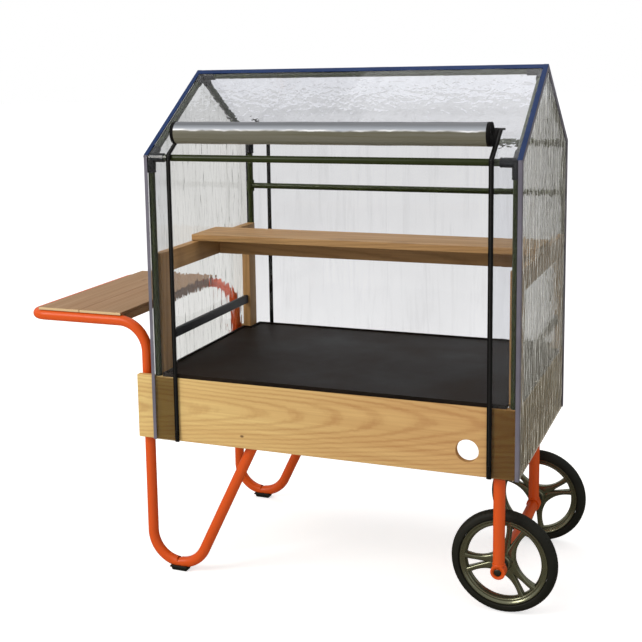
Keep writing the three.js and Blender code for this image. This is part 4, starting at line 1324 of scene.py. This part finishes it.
class CART_OT_cover(CartOperator):
    """Clear film walls with soft waves, roof bindings and weld strips down the corners"""

    bl_idname = "cart.cover"
    bl_label = "Clear cover"

    def execute(self, context):
        s, p = sizes(), Places()
        smooth = clear_film("Film inside", shade("film"), 0.0, 0.0, p.box_top)
        # Greyer, darker film colour on the end walls: painted shade on what is seen through them
        gable_painted_shade = (0.76, 0.76, 0.71)
        gable = [clear_film("Gable film", gable_painted_shade, 1.0, 0.0022, p.box_top), smooth]
        wall = [clear_film("Wall film", shade("film"), 0.5, 0.0010, p.box_top), smooth]
        bindings = self.bindings(s, p)

        height = p.eave_top - p.bottom
        width = p.cover_x[1] - p.cover_x[0]
        door = 2 * self.door_half(p)
        door_height = height + s.door_top
        for face, sign in (("front", -1), ("rear", 1)):
            skin = self.wall(s, p, sign)
            obj = piece(f"{face}_film", [skin], wall, [f"cover_{face}"])
            whole = width * (height + p.roof)
            area = whole - door * door_height if sign < 0 else whole
        for side, sign in (("left", -1), ("right", 1)):
            skin = self.gable(s, p, sign)
            obj = piece(f"{side}_film", [skin], gable, [f"cover_{side}"])
            depth, total = 2 * p.cover_y, p.ridge_top - p.bottom
            area = depth * (height + (p.ridge_top - p.eave_top) / 2)
            if sign < 0:
                area -= 2 * (p.cover_y - box("rear_board")[0][1]) * (p.box_top - p.bottom)
        for name, skins, finish in bindings:
            piece(name, skins, finish)
        return {"FINISHED"}

    @staticmethod
    def door_half(p):
        """Half of the door's width: the zips' middles less half a zip."""
        return (p.zip_x[1] - p.zip_x[0]) / 2 - sizes().zip_width / 2 + GAP

    def wall(self, s, p, sign):
        """Front or rear wall: columns along X, rows up the wall and on up the roof to the
        ridge. Waves push it outwards and fade at its edges, and the front lacks its door."""
        height = p.eave_top - p.bottom
        half_door = self.door_half(p)
        x0, x1 = (box("cover_front")[i][0] for i in (0, 1))
        xs = stretch(x0, p.middle_x - half_door, p.middle_x + half_door, x1, step=0.012)
        short_of_ridge = 0.0004
        up = stretch(-height, 0, s.door_top, p.roof - short_of_ridge, step=0.012)
        rise = np.clip(up, 0, None)
        y = sign * (p.cover_y - rise * math.cos(p.pitch))
        z = p.eave_top + np.minimum(up, 0) + rise * math.sin(p.pitch)
        tilt = np.where(up > 0, p.pitch, 0) + np.where(up == 0, p.pitch / 2, 0)
        on_roof = np.where(up > 0, 1.0, 0.0)
        normal = np.stack([np.zeros_like(up), sign * np.cos(tilt), np.sin(tilt)], -1)
        normal[on_roof > 0] = (0, sign * math.sin(p.pitch), math.cos(p.pitch))
        grid = np.stack(np.broadcast_arrays(xs[:, None], y[None], z[None]), -1)
        normals = np.broadcast_to(normal[None], grid.shape)
        edges = np.minimum(np.abs(xs - x0), np.abs(x1 - xs))[:, None]
        edges = np.minimum(edges, np.minimum(np.abs(up), up + height)[None])
        edges = np.minimum(edges, np.abs(np.abs(xs - p.middle_x) - half_door)[:, None])
        push = s.ripple * waves(grid[..., 0], up[None] + 0 * grid[..., 0], 1.0 + sign)
        grid = grid + normals * (push * np.clip(edges / 0.05, 0, 1))[..., None]
        middle_x, middle_up = (xs[1:] + xs[:-1]) / 2, (up[1:] + up[:-1]) / 2
        in_door = (np.abs(middle_x - p.middle_x) < half_door)[:, None]
        in_door = in_door & (middle_up < s.door_top)[None] & (sign < 0)
        return sheet_skin(grid, normals, ~in_door, s.film)

    @staticmethod
    def gable(s, p, sign):
        """End wall: columns along Y, rows up to the eaves and then in equal shares of the
        height under the roof. The handle end is cut out round the long boards' ends."""
        notch = box("rear_board")[0][1] - GAP
        ys = stretch(-p.cover_y, -notch, 0, notch, p.cover_y, step=0.012)
        low = stretch(p.bottom, p.box_top, p.eave_top, step=0.012)
        roof_rows = 17
        share = np.linspace(0, 1, roof_rows + 1)[1:]
        top = p.ridge_top - np.abs(ys) * math.tan(p.pitch)
        z = np.concatenate([
            np.broadcast_to(low[None], (len(ys), len(low))),
            p.eave_top + share[None] * (top - p.eave_top)[:, None],
        ], axis=1)
        x = p.cover_x[0 if sign < 0 else 1]
        y = np.broadcast_to(ys[:, None], z.shape)
        normals = np.broadcast_to(np.array([sign, 0.0, 0.0]), (*z.shape, 3))
        edges = np.minimum(p.cover_y - np.abs(y), np.minimum(z - p.bottom, top[:, None] - z))
        push = s.ripple * waves(y, z, 3.0 + sign) * np.clip(edges / 0.05, 0, 1)
        grid = np.stack([x + sign * push, y, z], -1)
        keep = np.ones((len(ys) - 1, z.shape[1] - 1), bool)
        if sign < 0:
            outside = np.abs(ys[1:] + ys[:-1]) / 2 > notch
            below = np.zeros(z.shape[1] - 1, bool)
            below[:len(low) - 1] = (low[1:] + low[:-1]) / 2 < p.box_top
            keep = ~(outside[:, None] & below[None])
        return sheet_skin(grid, normals, keep, s.film)

    @staticmethod
    def bindings(s, p):
        """Strips welded over the film's seams. Each roof edge has one on the gable and one on
        the slope, the ridge has a folded pair, and each corner has one on each wall."""
        navy = embossed("Navy binding", shade("binding"), 0.3, specular=0.08)
        lilac = embossed("Corner weld", shade("corner"), 0.28)
        wide, thick, trim = s.binding, 0.0014, s.trim
        made = []
        for side, sign, x in (("left", -1, p.cover_x[0]), ("right", 1, p.cover_x[1])):
            outside = x + sign * thick / 2
            drop = trim / 2 / math.cos(p.pitch)
            path = rounded_path([
                (outside, -p.cover_y, p.eave_top - drop), (outside, 0, p.ridge_top - drop),
                (outside, p.cover_y, p.eave_top - drop),
            ], [0.004])
            upright = unit(np.cross(path_frames(path)[1], (sign, 0.0, 0.0)))
            made.append((f"{side}_gable_binding", [ribbon(path, upright, trim, thick)], lilac))
            skins = []
            for face in (-1, 1):
                ends = [p.slope(face, a, thick / 2) for a in (-0.001, p.roof)]
                line = np.array([(x - sign * wide / 2, *end) for end in ends])
                skins.append(ribbon(line, (1, 0, 0), wide + 2 * thick, thick))
            made.append((f"{side}_roof_binding", skins, navy))
            for face_name, face in (("front", -1), ("rear", 1)):
                foot = p.box_top if sign < 0 else p.bottom
                y = face * p.cover_y
                inward = y - face * trim / 2
                narrow = s.corner_trim
                on_gable = np.array([
                    (outside, inward, foot), (outside, inward, p.eave_top - trim / 2),
                ])
                on_wall = np.array([
                    (x - sign * narrow / 2, y + face * thick / 2, level)
                    for level in (p.bottom, p.eave_top)
                ])
                strips = [
                    ribbon(on_gable, (0, 1, 0), trim, thick),
                    ribbon(on_wall, (1, 0, 0), narrow + 2 * thick, thick),
                ]
                made.append((f"{face_name}_{side}_corner_strip", strips, lilac))
        strips = []
        for face in (-1, 1):
            y, z = p.slope(face, p.roof - s.ridge_strip / 2, thick / 2)
            line = np.array([(p.cover_x[0], y, z), (p.cover_x[1], y, z)])
            side = (0, face * math.cos(p.pitch), -math.sin(p.pitch))
            strips.append(ribbon(line, side, s.ridge_strip, thick))
        made.append(("ridge_binding", strips, navy))
        return made


class CART_OT_roll(CartOperator):
    """Door flap: one sheet that leaves the door's top edge, runs down the slope and winds
    into a roll, with its black zip tapes wound up at both ends"""

    bl_idname = "cart.roll"
    bl_label = "Rolled door flap"

    def execute(self, context):
        s, p = sizes(), Places()
        lo, hi = box("flap_roll")
        centre = (lo + hi) / 2
        radius = (hi[2] - lo[2]) / 2
        reach = (hi[0] - lo[0]) / 2
        tape, sheet = 0.009, 0.0008
        flat = p.eave_top - p.bottom + s.door_top
        path, outwards = self.wind(s, p, centre, radius - 0.0006, flat)
        film = (rolled_film(shade("roll_painted_light"), shade("roll_painted_shade"), centre[2], radius), sheet,
                "rolled_film")
        edge = (woven("Zip tape", shade("zip")), 0.0029, "zip_black")
        strips = {
            "flap_sheet": (stretch(-reach + tape, reach - tape, step=0.03), *film),
            "left_flap_tape": (stretch(-reach, -reach + tape), *edge),
            "right_flap_tape": (stretch(reach - tape, reach), *edge),
        }
        for name, (xs, finish, thick, slot) in strips.items():
            grid = np.broadcast_to(path[:, None], (len(path), len(xs), 3)).copy()
            grid[..., 0] = centre[0] + xs
            normals = np.broadcast_to(outwards[:, None], grid.shape)
            if name == "flap_sheet":
                turn = np.linspace(0, 1, len(path))[:, None]
                wave = waves(grid[..., 0] * 1.5, turn * 2, 0.5) * 0.0011
                inside = np.clip((xs + reach) * (reach - xs) * 40, 0, 1)
                grid = grid - normals * (wave * inside)[..., None]
            keep = np.ones((grid.shape[0] - 1, grid.shape[1] - 1), bool)
            skin = sheet_skin(grid, normals, keep, thick)
            replaced = ["flap_roll"] if name == "flap_sheet" else []
            piece(name, [skin], finish, replaced)
        return {"FINISHED"}

    @staticmethod
    def wind(s, p, centre, radius, flat):
        """The flap's line seen from its end, and its outward directions. It runs down the slope
        to the point under the roll and then turns about the roll's middle, with a radius that
        falls evenly with the angle. The number of turns is what uses up the flap's length."""
        y, z = p.slope(-1, 0)
        up = np.array([0, math.cos(p.pitch), math.sin(p.pitch)])
        off = np.array([0, -math.sin(p.pitch), math.cos(p.pitch)])
        straight = s.door_top - float((centre - (centre[0], y, z)) @ up)
        start = centre + up * straight - off * radius
        core, points_a_turn = 0.0045, 44
        turns = (flat - straight) / (math.pi * (radius + core))
        angle = np.linspace(0, 2 * math.pi * turns, int(turns * points_a_turn))[:, None]
        ways = -off * np.cos(angle) - up * np.sin(angle)
        size = radius + (core - radius) * angle / angle[-1]
        run = np.linspace(0, 1, 8)[:-1, None]
        line = start + (centre - off * radius - start) * run
        path = np.concatenate([line, centre + ways * size])
        return path, np.concatenate([np.broadcast_to(-off, (len(run), 3)), ways])


class CART_OT_zips(CartOperator):
    """Zips: two woven tapes with a row of teeth, end stops, and sliders with pulls"""

    bl_idname = "cart.zips"
    bl_label = "Zips"

    def execute(self, context):
        s, p = sizes(), Places()
        tape = woven("Zip tape", shade("zip"))
        gloss = moulded("Zip teeth", shade("zip"), 0.3, 40.0, 900.0, 0.00005,
                        specular_ior_level=0.3)
        off, chain_width, chain_height, stop_half = 0.0011, 0.0042, 0.0026, 0.011
        for face, sign in (("front", -1), ("rear", 1)):
            for side, x in zip(("left", "right"), p.zip_x):
                top = p.slope(sign, s.door_top, off)
                y = sign * (p.cover_y + off)
                corner = (x, y, p.eave_top + off * math.tan(p.pitch / 2))
                corners = [(x, y, p.bottom - 0.001), corner, (x, *top)]
                path = self.resampled(rounded_path(corners, [0.01]), s.tooth_pitch / 4)
                parts = []
                half = s.zip_width / 2
                for hand in (-1, 1):
                    shift = np.array([hand * half / 2, 0, 0])
                    parts.append(ribbon(path[::8] + shift, (1, 0, 0), half - 0.0004, off))
                piece(f"{face}_{side}_zip_tape", parts, tape)
                distance = path_frames(path)[0]
                swell = 1 + 0.3 * np.cos(2 * math.pi * distance / s.tooth_pitch)
                chain = ribbon(path, (1, 0, 0), chain_width, chain_height, swell, sides=8)
                stop = np.array([(x - stop_half, *top), (x + stop_half, *top)])
                up_roof = (0, -sign * math.cos(p.pitch), math.sin(p.pitch))
                bar = ribbon(stop, up_roof, 0.0055, 0.0035)
                piece(f"{face}_{side}_zip_teeth", [chain, bar], gloss)
                self.slider(face, side, sign, gloss)
        return {"FINISHED"}

    @staticmethod
    def resampled(points, step):
        """The same line with points that are evenly spaced by about the step."""
        distance = path_frames(points)[0]
        marks = np.linspace(0, distance[-1], int(distance[-1] / step))
        return np.stack([np.interp(marks, distance, points[:, i]) for i in range(3)], -1)

    @staticmethod
    def slider(face, side, sign, finish):
        """Slider: a body that narrows upwards, a bridge over it, and a flat pull with a hole."""
        name = f"{face}_{side}_zip_slider"
        lo, hi = box(name)
        x, inner = (lo[0] + hi[0]) / 2, (hi[1] if sign < 0 else lo[1])
        outer = lo[1] if sign < 0 else hi[1]
        top = lo[2] + 0.015
        half, narrow, pull_half, inset = 0.006, 0.0018, 0.0035, 0.003
        y0, y1 = sorted([inner, inner + sign * 0.0042])
        body = block((x - half, y0, lo[2]), (x + half, y1, top), 0.0016, taper=0.0012)
        b0, b1 = sorted([inner + sign * inset, outer])
        bridge = block((x - narrow, b0, lo[2] + inset), (x + narrow, b1, top - inset), 0.0012)
        p0, p1 = sorted([outer - sign * 0.0005, outer - sign * inset])
        hole = (x, hi[2] - 0.005)
        pull = drilled_board((x - pull_half, p0, top - 2 * inset), (x + pull_half, p1, hi[2]),
                             0.0008, hole, 0.0017, spokes=24)
        piece(f"{face}_{side}_zip_runner", [body, bridge, pull], finish, [name],
              f"{face}_{side}_zip")


def seen_through(nodes):
    """One for a ray that the camera sends through the film and that has met nothing else."""
    passed = nodes.add("ShaderNodeLightPath", "Is Transmission Ray")
    met = nodes.add("ShaderNodeLightPath", "Diffuse Depth")
    return nodes.math("MULTIPLY", passed, nodes.math("LESS_THAN", met, 0.5))


class CART_OT_stage(CartOperator):
    """Pale floor, soft studio light and the camera"""

    bl_idname = "cart.stage"
    bl_label = "Floor, light and camera"

    def execute(self, context):
        self.floor()
        self.world()
        self.lamps()
        self.camera()
        context.scene.view_settings.view_transform = "Standard"
        return {"FINISHED"}

    @staticmethod
    def floor():
        """Flat disc: rings of radius from its middle outwards. It is dim in reflections, as if
        dark cards stood beside the cart."""
        def build(nodes):
            cloud = nodes.noise(nodes.place(), 1.5, 3.0)
            tone_now = nodes.mix(cloud, (0.86, 0.86, 0.86), (0.90, 0.90, 0.90))
            camera = nodes.add("ShaderNodeLightPath", "Is Camera Ray")
            seen = nodes.math("MAXIMUM", camera, seen_through(nodes))
            mirrored = nodes.add("ShaderNodeLightPath", "Is Glossy Ray")
            dimmed = nodes.mix(mirrored, tone_now, (0.20, 0.18, 0.13))
            pale = principled(nodes, base_color=dimmed, roughness=0.9)
            glow = principled(nodes, base_color=tone_now, roughness=0.9,
                              emission_color=(1.0, 1.0, 1.0),
                              emission_strength=nodes.remap(camera, 0.0, 1.0, 0.31, 0.62))
            return nodes.add("ShaderNodeMixShader", 0, {0: seen, 1: pale, 2: glow})

        angle = np.linspace(0, 2 * math.pi, 96, endpoint=False)
        radius, depth = 40, 0.05
        ring = np.stack([np.cos(angle), np.sin(angle), np.zeros(96)], -1) * radius
        rows = np.stack([ring, ring - (0, 0, depth)])
        points, faces, _ = surface(capped(rows))
        mesh = mesh_of("floor", points, faces)
        mesh.materials.append(material("Floor", build))
        floor = bpy.data.objects.new("floor", mesh)
        bpy.context.scene.collection.objects.link(floor)

    @staticmethod
    def world():
        """White to the camera. To everything else it is a studio that is bright above and to
        the left, and dim low down on the right."""
        world = bpy.data.worlds.new("Studio")
        bpy.context.scene.world = world
        world.use_nodes = True
        nodes = Nodes(world.node_tree)
        way = nodes.add("ShaderNodeTexCoord", "Generated")
        x, z = (nodes.add("ShaderNodeSeparateXYZ", i, {0: way}) for i in (0, 2))
        height = nodes.remap(z, -0.3, 0.9, 0.0, 0.62)
        left = nodes.remap(x, -1.0, 1.0, 0.46, 0.0)
        level = nodes.math("ADD", height, left)
        soft = nodes.mix(level, (0.12, 0.12, 0.13), (0.74, 0.73, 0.71))
        tone_now = nodes.mix(seen_through(nodes), soft, (0.99, 0.99, 1.0))
        camera = nodes.add("ShaderNodeLightPath", "Is Camera Ray")
        tone_now = nodes.mix(camera, tone_now, (1.0, 1.0, 1.0))
        back = nodes.add("ShaderNodeBackground", 0, {"Color": tone_now, "Strength": 1.0})
        nodes.add("ShaderNodeOutputWorld", inputs={"Surface": back})

    @staticmethod
    def lamps():
        """Warm key from the upper left in front, a weak cool fill from the right, and one lamp
        from above. Each has its place, size, power and tint."""
        lamps = {
            "key": ((-2.6, -3.4, 3.2), 1.8, 104.0, (1.0, 0.97, 0.92)),
            "fill": ((3.4, -2.2, 1.8), 2.6, 8.0, (0.95, 0.97, 1.0)),
            "top": ((0.2, 0.6, 4.2), 2.4, 24.0, (1.0, 1.0, 1.0)),
        }
        for name, (place, size, power, tint) in lamps.items():
            data = bpy.data.lights.new(name, "AREA")
            data.size, data.energy, data.color = size, power, tint
            lamp = bpy.data.objects.new(name, data)
            lamp.location = place
            aim = Vector((0, 0, 0.7)) - Vector(place)
            lamp.rotation_euler = aim.to_track_quat("-Z", "Y").to_euler()
            bpy.context.scene.collection.objects.link(lamp)

    @staticmethod
    def camera():
        """Camera in front and to the right, a little above the ridge, with a slight roll."""
        turn, tilt, roll = (math.radians(a) for a in (23.12, 8.66, -1.19))
        back = Vector((math.sin(turn) * math.cos(tilt), -math.cos(turn) * math.cos(tilt),
                       math.sin(tilt)))
        right = Vector((math.cos(turn), math.sin(turn), 0))
        up = back.cross(right)
        side = right * math.cos(roll) + up * math.sin(roll)
        top = up * math.cos(roll) - right * math.sin(roll)
        data = bpy.data.cameras.new("camera")
        data.lens, data.sensor_width, data.sensor_fit = 65.65, 36, "HORIZONTAL"
        data.shift_x, data.shift_y = 0.0836, -0.1268
        data.clip_end = 100
        camera = bpy.data.objects.new("camera", data)
        camera.matrix_world = Matrix.Translation((1.1323, -2.9279, 1.3455)) @ Matrix(
            (side, top, back)
        ).transposed().to_4x4()
        bpy.context.scene.collection.objects.link(camera)
        bpy.context.scene.camera = camera


OPERATORS = (
    CART_OT_chassis, CART_OT_feet, CART_OT_wheels, CART_OT_box, CART_OT_tray,
    CART_OT_side_shelf, CART_OT_frame, CART_OT_cover, CART_OT_roll, CART_OT_zips,
    CART_OT_stage,
)


class CART_PT_panel(bpy.types.Panel):
    """Lists the cart's sizes, colours and operators in the sidebar"""

    bl_idname = "CART_PT_panel"
    bl_label = "Greenhouse cart"
    bl_space_type = "VIEW_3D"
    bl_region_type = "UI"
    bl_category = "Cart"

    def draw(self, context):
        for group_name in ("cart_sizes", "cart_colours"):
            settings = getattr(context.scene, group_name)
            column = self.layout.box().column()
            for name in settings.__annotations__:
                column.prop(settings, name)
        for operator in OPERATORS:
            self.layout.operator(operator.bl_idname)


CLASSES = (CartSizes, CartColours, *OPERATORS, CART_PT_panel)


def register():
    """Makes the classes known to Blender and hangs the settings on the scene."""
    for cls in CLASSES:
        bpy.utils.register_class(cls)
    bpy.types.Scene.cart_sizes = PointerProperty(type=CartSizes)
    bpy.types.Scene.cart_colours = PointerProperty(type=CartColours)


def unregister():
    """Undoes register, last class first."""
    del bpy.types.Scene.cart_sizes
    del bpy.types.Scene.cart_colours
    for cls in reversed(CLASSES):
        bpy.utils.unregister_class(cls)


def main():
    """Registers the add-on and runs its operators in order."""
    register()
    for operator in OPERATORS:
        category, name = operator.bl_idname.split(".")
        getattr(getattr(bpy.ops, category), name)()


if __name__ == "__main__":
    main()
